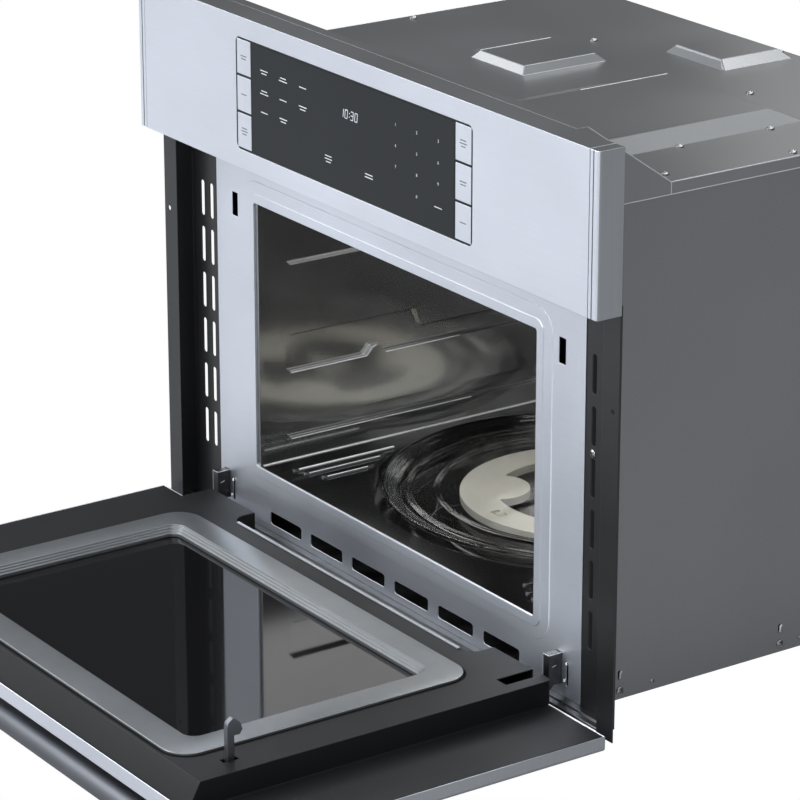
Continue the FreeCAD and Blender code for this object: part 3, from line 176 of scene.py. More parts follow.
# one entry for each finish: tint, metal, low and high roughness, patch size per metre, grain stretch with its
# dark and light ends, bump depth in metres; some have their own ior, glass as a share that passes through, or
# a painted shadow as the two distances back over which the sheet goes from painted shade to its own tone
finishLooks = {
    "stainless": {"tint": (0.78, 0.81, 0.87), "metal": 1.0, "rough": (0.28, 0.33), "patch": 5.0,
                  "grain": (9, 700, 700), "ends": (0.985, 1.012), "bump": 0.000003},
    "plate_steel": {"tint": (0.74, 0.768, 0.825), "metal": 1.0, "rough": (0.40, 0.46), "patch": 5.0,
                    "grain": (9, 700, 700), "ends": (0.985, 1.012), "bump": 0.000003},
    # painted shade: a darker copy of the stainless for the side faces of the end caps and the door panel
    "shaded_side_stainless": {"tint": (0.36, 0.375, 0.39), "metal": 1.0, "rough": (0.30, 0.36), "patch": 6.0,
                 "grain": (700, 700, 9), "ends": (0.97, 1.03), "bump": 0.000003},
    # dark zinc of the hinge arms, also put on the lower trim as painted shade
    "arm_zinc_and_trim_shade": {"tint": (0.12, 0.123, 0.127), "metal": 1.0, "rough": (0.28, 0.36), "patch": 40.0,
                 "grain": (90, 90, 90), "ends": (0.85, 1.08), "bump": 0.000005},
    # painted highlight: a light steel for the bright beads along edges, crests, floor ribs, rack guides and
    # hinge arms; also the bare steel of the side tabs and hinge prongs
    "highlight_and_bare_steel": {"tint": (0.66, 0.67, 0.68), "metal": 0.55, "rough": (0.34, 0.42), "patch": 30.0,
                  "grain": (300, 300, 300), "ends": (0.95, 1.05), "bump": 0.0},
    "handle_steel": {"tint": (0.17, 0.176, 0.19), "metal": 1.0, "rough": (0.40, 0.47), "patch": 6.0,
                     "grain": (9, 500, 500), "ends": (0.96, 1.03), "bump": 0.000004},
    "lip_steel": {"tint": (0.42, 0.44, 0.46), "metal": 1.0, "rough": (0.29, 0.36), "patch": 9.0,
                  "grain": (6, 700, 700), "ends": (0.95, 1.04), "bump": 0.0},
    "bright_steel": {"tint": (0.40, 0.41, 0.43), "metal": 1.0, "rough": (0.29, 0.35), "patch": 9.0,
                     "grain": (6, 700, 700), "ends": (0.95, 1.04), "bump": 0.00001},
    # painted shade: a darker copy of casing_grey for the side panels, darkened further by a painted shadow
    # behind the rail
    "casing_side": {"tint": (0.225, 0.23, 0.235), "metal": 0.85, "rough": (0.285, 0.34), "patch": 4.0,
                    "grain": (900, 900, 900), "ends": (0.95, 1.05), "bump": 0.000005,
                    "railShadow": (-0.207, -0.193)},
    "casing_grey": {"tint": (0.25, 0.255, 0.26), "metal": 0.85, "rough": (0.285, 0.34), "patch": 4.0,
                    "grain": (900, 900, 900), "ends": (0.95, 1.05), "bump": 0.00001},
    "black_steel": {"tint": (0.010, 0.010, 0.011), "metal": 0.0, "rough": (0.30, 0.40), "patch": 8.0,
                    "grain": (1100, 1100, 1100), "ends": (0.9, 1.1), "bump": 0.00002},
    # painted shade: a darker copy of the cavity enamel for the cavity floor
    "shaded_floor_enamel": {"tint": (0.085, 0.085, 0.087), "metal": 0.95, "rough": (0.07, 0.11), "patch": 7.0,
                     "grain": (500, 500, 500), "ends": (0.95, 1.05), "bump": 0.0},
    "cavity_enamel": {"tint": (0.46, 0.46, 0.455), "metal": 0.95, "rough": (0.08, 0.13), "patch": 7.0,
                      "grain": (500, 500, 500), "ends": (0.95, 1.05), "bump": 0.000004},
    "choke_grey": {"tint": (0.27, 0.281, 0.289), "metal": 0.85, "rough": (0.31, 0.37), "patch": 6.0,
                   "grain": (60, 60, 300), "ends": (0.97, 1.03), "bump": 0.0},
    "dark_glass": {"tint": (0.006, 0.006, 0.007), "metal": 0.0, "rough": (0.02, 0.05), "patch": 5.0,
                   "grain": (3, 3, 3), "ends": (0.95, 1.05), "bump": 0.0, "ior": 1.29},
    "panel_glass": {"tint": (0.030, 0.032, 0.034), "metal": 0.0, "rough": (0.20, 0.26), "patch": 5.0,
                    "grain": (3, 3, 3), "ends": (0.95, 1.05), "bump": 0.0, "ior": 1.12},
    "clear_glass": {"tint": (0.93, 0.935, 0.925), "metal": 0.0, "rough": (0.01, 0.03), "patch": 8.0,
                    "grain": (4, 4, 4), "ends": (0.98, 1.02), "bump": 0.0, "glass": 1.0, "ior": 1.47},
    "black_plastic": {"tint": (0.008, 0.0083, 0.009), "metal": 0.0, "rough": (0.46, 0.56), "patch": 6.0,
                      "grain": (800, 800, 800), "ends": (0.9, 1.1), "bump": 0.00003, "ior": 1.36},
    "pale_plastic": {"tint": (0.69, 0.66, 0.58), "metal": 0.0, "rough": (0.42, 0.52), "patch": 12.0,
                     "grain": (600, 600, 600), "ends": (0.96, 1.03), "bump": 0.00002},
    "board_green": {"tint": (0.02, 0.12, 0.05), "metal": 0.0, "rough": (0.40, 0.55), "patch": 20.0,
                    "grain": (300, 300, 40), "ends": (0.8, 1.15), "bump": 0.00002},
    "screw_steel": {"tint": (0.34, 0.345, 0.35), "metal": 1.0, "rough": (0.12, 0.20), "patch": 90.0,
                    "grain": (300, 300, 300), "ends": (0.95, 1.05), "bump": 0.0},
    "zinc": {"tint": (0.50, 0.51, 0.52), "metal": 1.0, "rough": (0.29, 0.38), "patch": 40.0,
             "grain": (90, 90, 90), "ends": (0.85, 1.08), "bump": 0.00002},
    "mica": {"tint": (0.55, 0.50, 0.40), "metal": 0.0, "rough": (0.45, 0.60), "patch": 60.0,
             "grain": (200, 200, 200), "ends": (0.85, 1.1), "bump": 0.00002},
    "shadow_gap": {"tint": (0.002, 0.002, 0.002), "metal": 0.0, "rough": (0.70, 0.80), "patch": 20.0,
                   "grain": (300, 300, 300), "ends": (0.9, 1.1), "bump": 0.0, "ior": 1.2},
    "core_iron": {"tint": (0.06, 0.055, 0.05), "metal": 0.6, "rough": (0.45, 0.60), "patch": 15.0,
                  "grain": (30, 900, 30), "ends": (0.85, 1.1), "bump": 0.00002},
    "panel_print": {"tint": (0.62, 0.64, 0.66), "metal": 0.0, "rough": (0.50, 0.60), "patch": 30.0,
                    "grain": (300, 300, 300), "ends": (0.97, 1.03), "bump": 0.0},
    "key_print": {"tint": (0.10, 0.11, 0.12), "metal": 0.0, "rough": (0.50, 0.60), "patch": 30.0,
                  "grain": (300, 300, 300), "ends": (0.95, 1.05), "bump": 0.0},
}

# shared by all finishes: ior where none is given, bump strength, and the share of the tint left where the
# painted shadow behind the rail is darkest
shaderLook = {"ior": 1.5, "bump": 0.6, "dark": 0.08}


def makeFinish(name, look):
    material = bpy.data.materials.new(name)
    material.use_nodes = True
    tree = material.node_tree
    shader = tree.nodes["Principled BSDF"]
    place = tree.nodes.new("ShaderNodeTexCoord").outputs["Object"]
    grain = useGroup(tree, brushGrain, place, {"Stretch": look["grain"], "Dark": look["ends"][0],
                                               "Light": look["ends"][1]})
    patch = useGroup(tree, softPatches, place, {"Size": look["patch"], "Low": look["rough"][0],
                                                "High": look["rough"][1]})
    shade = mathNode(tree, "MULTIPLY", grain.outputs["Shade"], patch.outputs["Shade"])
    if "railShadow" in look:
        # painted shadow: the sheet is darkened where it lies behind the rail
        split = tree.nodes.new("ShaderNodeSeparateXYZ")
        tree.links.new(place, split.inputs["Vector"])
        railShadow = rampBetween(tree, split.outputs["Y"], look["railShadow"])
        railShadow.inputs["To Min"].default_value = shaderLook["dark"]
        shade = mathNode(tree, "MULTIPLY", shade, railShadow.outputs["Result"])
    mix = tree.nodes.new("ShaderNodeMix")
    mix.data_type = "RGBA"
    mix.blend_type = "MULTIPLY"
    mix.inputs["Factor"].default_value = 1.0
    mix.inputs["A"].default_value = (*look["tint"], 1.0)
    tree.links.new(shade, mix.inputs["B"])
    tree.links.new(mix.outputs["Result"], shader.inputs["Base Color"])
    tree.links.new(patch.outputs["Patch"], shader.inputs["Roughness"])
    shader.inputs["Metallic"].default_value = look["metal"]
    shader.inputs["IOR"].default_value = look.get("ior", shaderLook["ior"])
    shader.inputs["Transmission Weight"].default_value = look.get("glass", 0.0)
    if look["bump"]:
        bump = tree.nodes.new("ShaderNodeBump")
        bump.inputs["Strength"].default_value = shaderLook["bump"]
        bump.inputs["Distance"].default_value = look["bump"]
        tree.links.new(grain.outputs["Height"], bump.inputs["Height"])
        tree.links.new(bump.outputs["Normal"], shader.inputs["Normal"])
    return material


finishes = {name: makeFinish(name, look) for name, look in finishLooks.items()}
print("finishes made:", len(finishes))

# nodes whose finish differs from the rest of their slot; the lower trim takes the dark arm zinc as painted
# shade
finishOf = {"handle_bar": "handle_steel", "door_lip": "lip_steel", "cavity_floor": "shaded_floor_enamel",
            "lower_trim": "arm_zinc_and_trim_shade", "front_plate": "plate_steel"}
# second finishes on the faces that look along an axis either way, as axis and finish; the darker stainless on
# side faces is painted shade
turnedFaces = {"fascia_shell": ((2, "casing_grey"),), "door_panel": ((0, "shaded_side_stainless"),)}
for _, label in sides:
    finishOf.update({"latch_hook_" + label: "handle_steel", "hinge_arm_" + label: "arm_zinc_and_trim_shade",
                     "casing_side_" + label: "casing_side"})
    turnedFaces.update({"fascia_end_" + label: ((2, "casing_grey"), (0, "shaded_side_stainless")),
                        "cavity_wall_" + label: ((2, "black_steel"),)})
# nodes whose second finish is on the faces that look up and not on those that look down; the black steel on
# the upward faces of the cavity walls is painted shade
upOnly = ["cavity_wall_" + label for _, label in sides]

# rounded sheet edges on the nodes that keep their solid, width of the bevel in metres
edgeWidths = {
    "fascia_shell": 0.0004, "fascia_end_left": 0.0008, "fascia_end_right": 0.0008, "front_plate": 0.0004,
    "rail_left": 0.0004, "rail_right": 0.0004, "lower_trim": 0.0003, "casing_side_left": 0.0004,
    "casing_side_right": 0.0005, "casing_top": 0.0009, "control_cover": 0.0003, "casing_rear": 0.0004,
    "key_bezel": 0.0003, "door_panel": 0.0006, "door_liner": 0.0007, "door_lip": 0.0003,
    "latch_hook_left": 0.0008, "latch_hook_right": 0.0008, "hinge_arm_left": 0.0003,
    "hinge_arm_right": 0.0003, "cavity_wall_left": 0.0004, "cavity_wall_right": 0.0004,
    "cavity_floor": 0.0006,
}
keyRows = (1, 2, 3)
keyEdge = 0.0005
edgeWidths.update({"key_" + label + "_" + str(row): keyEdge for _, label in sides for row in keyRows})
# shallow folds that are rounded too, least angle in degrees
foldAngles = {"casing_top": 8, "control_cover": 12, "lower_trim": 20}
# shared by all nodes: least cosine of a face that looks along an axis, weld distance in metres, bevel
# segments, least angle in degrees of a fold that is rounded or split, and weight of the flat faces
dressLook = {"facing": 0.8, "weld": 0.00001, "segments": 2, "fold": 40, "split": 30, "flat": 100}


def dressNode(name):
    node = nodes[name]
    node.data.materials.clear()
    node.data.materials.append(finishes[finishOf.get(name, slotOf[name])])
    if name in turnedFaces:
        # a face takes a second finish where its normal lies along that finish's axis
        normals = np.zeros(len(node.data.polygons) * 3)
        node.data.polygons.foreach_get("normal", normals)
        picks = np.zeros(len(node.data.polygons), dtype=np.int32)
        for number, (axis, finish) in enumerate(turnedFaces[name]):
            node.data.materials.append(finishes[finish])
            facing = normals.reshape(-1, 3)[:, axis]
            picks[(facing if name in upOnly else np.abs(facing)) > dressLook["facing"]] = number + 1
        node.data.polygons.foreach_set("material_index", picks)
    weld = node.modifiers.new("weld", "WELD")
    weld.merge_threshold = dressLook["weld"]
    node.data.shade_smooth()
    if name in edgeWidths:
        edge = node.modifiers.new("round edges", "BEVEL")
        edge.width = edgeWidths[name]
        edge.segments = dressLook["segments"]
        edge.limit_method = "ANGLE"
        edge.angle_limit = math.radians(foldAngles.get(name, dressLook["fold"]))
        edge.use_clamp_overlap = False
        edge.loop_slide = False
        edge.face_strength_mode = "FSTR_ALL"
        flat = node.modifiers.new("flat faces", "WEIGHTED_NORMAL")
        flat.weight = dressLook["flat"]
        flat.use_face_influence = True
    else:
        crease = node.modifiers.new("crisp folds", "EDGE_SPLIT")
        crease.split_angle = math.radians(dressLook["split"])


for name in nodes:
    dressNode(name)
print("solids dressed")


# meshes from whole arrays
def gridFaces(rows, columns, wrapRows, wrapColumns):
    # a cell's corners: its own number, the next in the row, and the same two one row down, wrapped if closed
    row, column = np.meshgrid(np.arange(rows if wrapRows else rows - 1),
                              np.arange(columns if wrapColumns else columns - 1), indexing="ij")
    down, right = (row + 1) % rows, (column + 1) % columns
    corners = [row * columns + column, row * columns + right, down * columns + right,
               down * columns + column]
    return np.stack(corners, -1).reshape(-1, 4)


# the distance in metres under which two corners are one
seamGap = 1e-6


def addPiece(name, points, faces, finish, body, crisp=35.0):
    # doubles are merged so seams and poles close, then all faces turn outwards; folds over the crisp angle,
    # in degrees, are split
    mesh = bpy.data.meshes.new(name)
    mesh.from_pydata(points.reshape(-1, 3).tolist(), [], faces.tolist())
    shell = bmesh.new()
    shell.from_mesh(mesh)
    bmesh.ops.remove_doubles(shell, verts=shell.verts, dist=seamGap)
    bmesh.ops.recalc_face_normals(shell, faces=shell.faces)
    shell.to_mesh(mesh)
    shell.free()
    piece = bpy.data.objects.new(name, mesh)
    bpy.context.scene.collection.objects.link(piece)
    mesh.materials.append(finishes[finish])
    mesh.shade_smooth()
    crease = piece.modifiers.new("crisp folds", "EDGE_SPLIT")
    crease.split_angle = math.radians(crisp)
    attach(piece, body)
    return piece


# the most that a rounded corner takes of its shorter side
cornerShare = 0.45


def roundedProfile(keys, radius, steps):
    # each inner corner of an open line becomes a quadratic arc that starts and ends one radius away
    keys = np.array(keys, float)
    before, here, after = keys[:-2], keys[1:-1], keys[2:]
    inLength = np.linalg.norm(before - here, axis=1, keepdims=True)
    outLength = np.linalg.norm(after - here, axis=1, keepdims=True)
    reach = np.minimum(radius, cornerShare * np.minimum(inLength, outLength))
    first = here + (before - here) / inLength * reach
    last = here + (after - here) / outLength * reach
    t = np.linspace(0, 1, steps)[None, :, None]
    arcs = (1 - t) ** 2 * first[:, None] + 2 * t * (1 - t) * here[:, None] + t ** 2 * last[:, None]
    return np.vstack([keys[:1], arcs.reshape(-1, 2), keys[-1:]])


# choke ring on the door, in millimetres: a section carried round a rectangle with round corners, and round it
# a flat near-black strip, a painted shadow in the gap between ring and liner
chokeLook = {"side": 29.5, "hingeSide": 28.0, "freeSide": 30.5, "corner": 27.0, "innerCorner": 13.5,
             "cornerShrink": 0.5, "drop": 2.0, "run": 2.2, "steps": 3, "height": 2.5, "sink": 8.0,
             "round": 0.95, "roundSteps": 5, "cornerSteps": 14, "gap": 2.4, "gapRise": 0.12, "gapLap": 0.3,
             "crisp": 50.0}


def carryRound(section):
    # inset runs from the outer edge; up to the band's width the outline shrinks by a share of each side's
    # band, and past it by the same amount all round, while the corner radius shrinks with it
    look = chokeLook
    low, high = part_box("choke_ring")
    inset, height = section[:, 0], section[:, 1]
    share = np.minimum(inset / look["side"], 1.0)
    extra = np.maximum(inset - look["side"], 0.0)
    left = low.x + (share * look["side"] + extra) * mm
    right = high.x - (share * look["side"] + extra) * mm
    near = low.y + (share * look["freeSide"] + extra) * mm
    far = high.y - (share * look["hingeSide"] + extra) * mm
    radius = look["corner"] + share * (look["innerCorner"] - look["corner"]) - look["cornerShrink"] * extra
    radius = radius * mm
    turn = np.linspace(0, math.pi / 2, look["cornerSteps"])[None, :] + np.arange(4)[:, None] * math.pi / 2
    toRight = np.array([1, 0, 0, 1])[:, None, None]
    toFar = np.array([1, 1, 0, 0])[:, None, None]
    x = toRight * (right - radius) + (1 - toRight) * (left + radius) + np.cos(turn)[:, :, None] * radius
    y = toFar * (far - radius) + (1 - toFar) * (near + radius) + np.sin(turn)[:, :, None] * radius
    z = np.broadcast_to(high.z + height * mm, x.shape)
    points = np.stack([x, y, z], -1).reshape(-1, len(inset), 3)
    return points, gridFaces(points.shape[0], points.shape[1], True, False)


def chokeRing():
    look = chokeLook
    band, drop, run, base = look["side"], look["drop"], look["run"], -look["height"]
    keys = [(0.0, base), (0.0, 0.0), (band, 0.0)]
    for step in range(look["steps"]):
        inset = band + step * run
        keys += [(inset, -drop * (step + 1)), (inset + run, -drop * (step + 1))]
    keys += [(band + look["steps"] * run, base - look["sink"]), (band, base - look["sink"]), (band, base),
             (0.0, base)]
    points, faces = carryRound(roundedProfile(keys, look["round"], look["roundSteps"]))
    ring = addPiece("choke_frame", points, faces, "choke_grey", "door", look["crisp"])
    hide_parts("choke_ring")
    # painted shadow: a flat near-black strip round the ring, where the gap to the liner is in shade
    out, lap, rise = -look["gap"], look["gapLap"], base + look["gapRise"]
    keys = [(out, base), (out, rise), (lap, rise), (lap, base), (out, base)]
    points, faces = carryRound(np.array(keys))
    addPiece("choke_gap_shadow", points, faces, "shadow_gap", "door")


# turntable tray: a glass section, as radius and height in millimetres, turned about the table's axis
trayLook = {"turns": 144, "round": 1.6, "roundSteps": 4, "crisp": 50.0,
            "section": [(0, 0), (60, 0), (183, 0), (190, 0.6), (204.4, 8.4), (205, 12.9), (201.6, 12.9),
                        (200.0, 11.5), (198.2, 11.3), (196.8, 9.8), (194.4, 9.3), (193.0, 7.6),
                        (190.2, 6.9), (187.5, 5.0), (181, 4.5), (178, 5.6), (174, 4.5), (152, 4.5),
                        (149, 5.3), (146, 4.5), (60, 4.5), (0, 4.5)]}


def turntableTray():
    # every point of the section keeps its height and walks round a circle of its own radius
    low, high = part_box("turntable_tray")
    section = roundedProfile(trayLook["section"], trayLook["round"], trayLook["roundSteps"])
    turn = np.linspace(0, 2 * math.pi, trayLook["turns"], endpoint=False)[:, None]
    x = (low.x + high.x) / 2 + np.cos(turn) * section[None, :, 0] * mm
    y = (low.y + high.y) / 2 + np.sin(turn) * section[None, :, 0] * mm
    z = np.broadcast_to(low.z + section[None, :, 1] * mm, x.shape)
    points = np.stack([x, y, z], -1)
    tray = addPiece("glass_tray", points, gridFaces(len(turn), len(section), True, False), "clear_glass",
                    "turntable", trayLook["crisp"])
    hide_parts("turntable_tray")


chokeRing()
turntableTray()
print("ring and tray made")

# screws: a low dome with a cross recess, in millimetres, on even inner rings and a few closer outer ones that
# are given as shares of the radius
screwLook = {"radius": 3.9, "height": 2.4, "recess": 1.4, "arm": 0.8, "reach": 2.5, "bulge": 0.85,
             "turns": 32, "even": 0.8, "evenRings": 9, "outer": (0.88, 0.95, 1.0, 1.0), "crisp": 30.0}


def screwHead(name, place, facing, scale=1.0):
    # height over a polar grid: a dome, less the recess where the point lies in either arm of the cross; the
    # last ring drops to the sheet and a point closes it below
    look = screwLook
    shares = np.concatenate([np.linspace(0, look["even"], look["evenRings"]), look["outer"]])
    ring = shares[:, None] * look["radius"]
    turn = np.linspace(0, 2 * math.pi, look["turns"], endpoint=False)[None, :]
    u, v = ring * np.cos(turn), ring * np.sin(turn)
    dome = look["height"] * np.sqrt(np.clip(1.0 - look["bulge"] * (ring / look["radius"]) ** 2, 0, 1))
    inArm = np.minimum(np.abs(u), np.abs(v)) < look["arm"]
    inReach = np.hypot(u, v) < look["reach"]
    height = dome - look["recess"] * (inArm & inReach)
    height[-1] = 0.0
    u = np.vstack([u, np.zeros((1, u.shape[1]))])
    v = np.vstack([v, np.zeros((1, v.shape[1]))])
    height = np.vstack([height, np.zeros((1, height.shape[1]))])
    facing = Vector(facing)
    side = facing.orthogonal().normalized()
    up = facing.cross(side)
    points = np.array(place) + scale * mm * (u[..., None] * np.array(side) + v[..., None] * np.array(up)
                                             + height[..., None] * np.array(facing))
    faces = gridFaces(points.shape[0], points.shape[1], False, True)
    return addPiece(name, points, faces, "screw_steel", "oven", look["crisp"])


# screw places in millimetres from the fascia's lower front edge: across and back on the top, back and up with
# their scale on the sides, across and up on the rail
screwPlaces = {
    "top": [(-300, 280), (300, 280), (-122.4, 376.5), (122.4, 376.5), (18, 501), (228, 313.6),
            (227.4, 207.7), (288.7, 142.3)],
    "side": [(88, -391.3, 1.0), (278, -391.3, 1.0), (126, -391, 0.6), (302.6, -391, 0.6)],
    "rail": [(318.0, -148.0)],
}
for number, (x, y) in enumerate(screwPlaces["top"]):
    spot = atFace(x, y, 0)
    spot[2] = topZ
    screwHead("top_screw_" + str(number + 1), spot, (0, 0, 1))
for number, (y, z, scale) in enumerate(screwPlaces["side"]):
    for side, _ in sides:
        spot = atFace(0, y, z)
        spot[0] = side * sideX
        screwHead("side_screw_" + str(2 * number + (side + 3) // 2), spot, (side, 0, 0), scale)
for number, (x, z) in enumerate(screwPlaces["rail"]):
    spot = atFace(x, 0, z)
    spot[1] = railY
    screwHead("rail_screw_" + str(number + 1), spot, (0, -1, 0))
print("screws made")

# painted highlights along the edges of the casing sheets: bright beads, with bead radius in millimetres,
# points round it, least angle of a crisp fold in degrees, least share of a line's direction that makes it run
# across, and in millimetres how far the beads lie inside the sheets' boxes at the side, at upper and lower
# edges, under the shelf and at the ends, with the shelf's start
hemLook = {"radius": 0.55, "turns": 8, "crisp": 60.0, "across": 0.9, "side": 0.3, "upper": 0.4, "lower": 0.3,
           "shelf": 0.6, "end": 1.0, "shelfBack": 12.1}


def sheetBead(name, path, finish, body, radius):
    # a ring of points round each corner of the line, square to the line's own direction there, capped at both
    # ends; the ring's first arm is square to Y where the line runs across, and to X elsewhere
    path = np.array(path, float)
    along = np.gradient(path, axis=0)
    along /= np.linalg.norm(along, axis=1, keepdims=True)
    guide = np.where(np.abs(along[:, :1]) > hemLook["across"], [[0.0, 1.0, 0.0]], [[1.0, 0.0, 0.0]])
    side = np.cross(along, guide)
    side /= np.linalg.norm(side, axis=1, keepdims=True)
    up = np.cross(along, side)
    turn = np.linspace(0, 2 * math.pi, hemLook["turns"], endpoint=False)[None, :, None]
    points = path[:, None] + radius * mm * (np.cos(turn) * side[:, None] + np.sin(turn) * up[:, None])
    ends = [np.broadcast_to(path[index], points[:1].shape) for index in (0, -1)]
    points = np.concatenate([ends[0], points, ends[1]])
    faces = gridFaces(points.shape[0], points.shape[1], False, True)
    return addPiece(name, points, faces, finish, body, hemLook["crisp"])


coverLow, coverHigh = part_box("control_cover")
lidLow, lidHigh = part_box("casing_top")


def hemLines(x):
    look = hemLook
    upperZ, lowerZ = topZ - look["upper"] * mm, lidLow.z + look["lower"] * mm
    cheekZ = coverLow.z + look["lower"] * mm
    backY = lidHigh.y - look["end"] * mm
    shelf = (x, coverLow.y + look["shelfBack"] * mm, coverHigh.z - look["shelf"] * mm)
    corner = (x, coverHigh.y, upperZ)
    return {"slope": [shelf, corner],
            "joint": [corner, (x, coverHigh.y, lidLow.z + look["upper"] * mm)],
            "cheek": [(x, coverLow.y + look["end"] * mm, cheekZ), (x, coverHigh.y, cheekZ)],
            "upper": [(x, lidLow.y, upperZ), (x, backY, upperZ)],
            "lower": [(x, lidLow.y, lowerZ), (x, backY, lowerZ)]}


for side, label in sides:
    for part, line in hemLines(side * (lidHigh.x - hemLook["side"] * mm)).items():
        sheetBead("hem_" + part + "_" + label, line, "highlight_and_bare_steel", "oven", hemLook["radius"])

# bent locking tabs that stand in the slots of the side panels: places as y and z in metres, then radius and
# the line from each place as out, back and up, in millimetres
tabLook = {"places": ((-0.18925, 0.024), (0.00075, 0.024)), "radius": 1.1,
           "line": ((-0.6, 0.0, -3.4), (0.1, 0.0, -2.6), (0.5, 0.0, 2.6), (0.3, 1.6, 3.6))}
for number, (y, z) in enumerate(tabLook["places"]):
    for side, label in sides:
        tab = [(side * (sideX + out * mm), y + back * mm, z + up * mm) for out, back, up in tabLook["line"]]
        sheetBead("side_tab_" + label + "_" + str(number + 1), tab, "highlight_and_bare_steel", "oven", tabLook["radius"])
print("hems and tabs made")

# corners and faces of a flat box, across and up from its middle and back from its front
boxCorners = np.array([(-1, 0, -1), (1, 0, -1), (1, 0, 1), (-1, 0, 1),
                       (-1, 1, -1), (1, 1, -1), (1, 1, 1), (-1, 1, 1)])
boxFaces = np.array([(0, 1, 2, 3), (5, 4, 7, 6), (4, 0, 3, 7), (1, 5, 6, 2), (3, 2, 6, 7), (4, 5, 1, 0)])

# slopes of the pressed platforms, in metres: inset of the crown, rise, how far the near end of a long left
# slope lags behind the crown's, and least angle of a crisp fold in degrees
rampLook = {"inset": 0.4 * mm, "rise": 7.9 * mm, "lag": 12 * mm, "crisp": 4.0}
# each crown as low and high x, then low and high y, and how far the foot runs out past those four sides
ramps = {
    "small": {"crown": (-0.132, -0.059, -0.03295, 0.05305), "runs": (0.030, 0.0065, 0.0065, 0.009)},
    "rear": {"crown": (-0.040, 0.030, 0.14005, 0.21105), "runs": (0.0065, 0.0085, 0.0085, 0.0065)},
    "large": {"crown": (0.043, 0.195, -0.12695, 0.06205), "runs": (0.030, 0.0175, 0.0065, 0.012)},
}


def platformRamp(name):
    # a foot and a smaller crown, each a rectangle, joined by four flat slopes and closed above and below
    left, right, near, far = ramps[name]["crown"]
    toLeft, toRight, toNear, toFar = ramps[name]["runs"]
    inset, rise = rampLook["inset"], rampLook["rise"]
    lag = rampLook["lag"] if toLeft > toNear else -toNear
    foot = np.array([(left - toLeft, near + lag), (right + toRight, near - toNear),
                     (right + toRight, far + toFar), (left - toLeft, far + toFar)])
    top = np.array([(left + inset, near + inset), (right - inset, near + inset),
                    (right - inset, far - inset), (left + inset, far - inset)])
    low, high = [np.broadcast_to(loop.mean(0), loop.shape) for loop in (foot, top)]
    lift = np.array([0.0, 0.0, rise, rise])[:, None, None]
    points = np.concatenate([np.stack([low, foot, top, high]), topZ + np.broadcast_to(lift, (4, 4, 1))], -1)
    faces = gridFaces(4, 4, False, True)
    addPiece("platform_ramp_" + name, points, faces, "casing_grey", "oven", rampLook["crisp"])


for name in ramps:
    platformRamp(name)

# painted highlight: a bright bead along the far stretch of a platform's left edge, where the rounded crest
# catches the light;
# its radius in millimetres, and where it starts as a share of the crown's depth
crestLook = {"radius": 0.8, "starts": {"small": 0.0, "large": 0.45}}
for name, start in crestLook["starts"].items():
    left, _, near, far = ramps[name]["crown"]
    crestZ = topZ + rampLook["rise"] - crestLook["radius"] / 2 * mm
    ends = [(left, near + start * (far - near), crestZ), (left, far, crestZ)]
    sheetBead("platform_crest_highlight_" + name, ends, "highlight_and_bare_steel", "oven", crestLook["radius"])

# painted highlights: bright beads on the rounded edges of the cavity floor, along the left wall and on the
# three ribs;
# in millimetres: x, low and high y, depth under the ribs' top, and radius
floorLook = {"wall": (-231.2, -228, 220, 1.9, 0.9), "rib_1": (-199.9, -206, -90, 0.5, 1.2),
             "rib_2": (-185.7, -203, -117, 0.5, 0.6), "rib_3": (-167.7, -193, -144, 0.5, 0.6)}
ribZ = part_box("cavity_floor")[1].z
for name, (x, near, far, depth, radius) in floorLook.items():
    line = [(x * mm, y * mm, ribZ - depth * mm) for y in (near, far)]
    sheetBead("floor_edge_highlight_" + name, line, "highlight_and_bare_steel", "oven", radius)

# edges of the pressed rack guides on both cavity walls, as beads: the bright ones are painted highlights and
# the dark mid_top one is a painted shade line; lines as back and up in millimetres from the cavity's front
# and floor, radius and finish
guideLook = {
    "low": ([(38, 22.5), (262, 22.5)], 0.55, "highlight_and_bare_steel"),
    "mid": ([(38, 93.5), (130, 93.5), (134, 97.5), (138, 102), (142, 103)], 0.55, "highlight_and_bare_steel"),
    "mid_far": ([(154, 93.5), (247, 93.5)], 0.5, "highlight_and_bare_steel"),
    "mid_top": ([(38, 134), (191, 134), (195, 124), (199, 114), (292, 114)], 0.3, "shadow_gap"),
}
ribHeight = 2.2 * mm
floorZ = ribZ - ribHeight
wallX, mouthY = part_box("cavity_floor")[1].x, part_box("cavity_floor")[0].y
for name, (line, radius, finish) in guideLook.items():
    for side, label in sides:
        path = [(side * wallX, mouthY + back * mm, floorZ + up * mm) for back, up in line]
        sheetBead("guide_" + name + "_" + label, path, finish, "oven", radius)

# hinge trim in millimetres: half the arm's width, its front before the plate, its upper and lower end; the
# pressed dash as back from the front and down from the top; the prongs in the plate's slot as across and up,
# with their line from there as across, back and up; and the radius of each bead
hingeLook = {"half": 4.5, "front": 14.3, "top": 46.0, "low": 24.0, "dash": ((3.5, 12.0), (8.0, 11.0)),
             "prongs": {"upper": (12.0, 37.8), "lower": (9.2, 20.5)},
             "prongLine": ((0.0, -0.3, 1.0), (1.6, -1.0, -1.0)),
             "radius": {"rim": 0.35, "lid": 0.3, "dash": 0.4, "upper": 1.0, "lower": 1.0}}


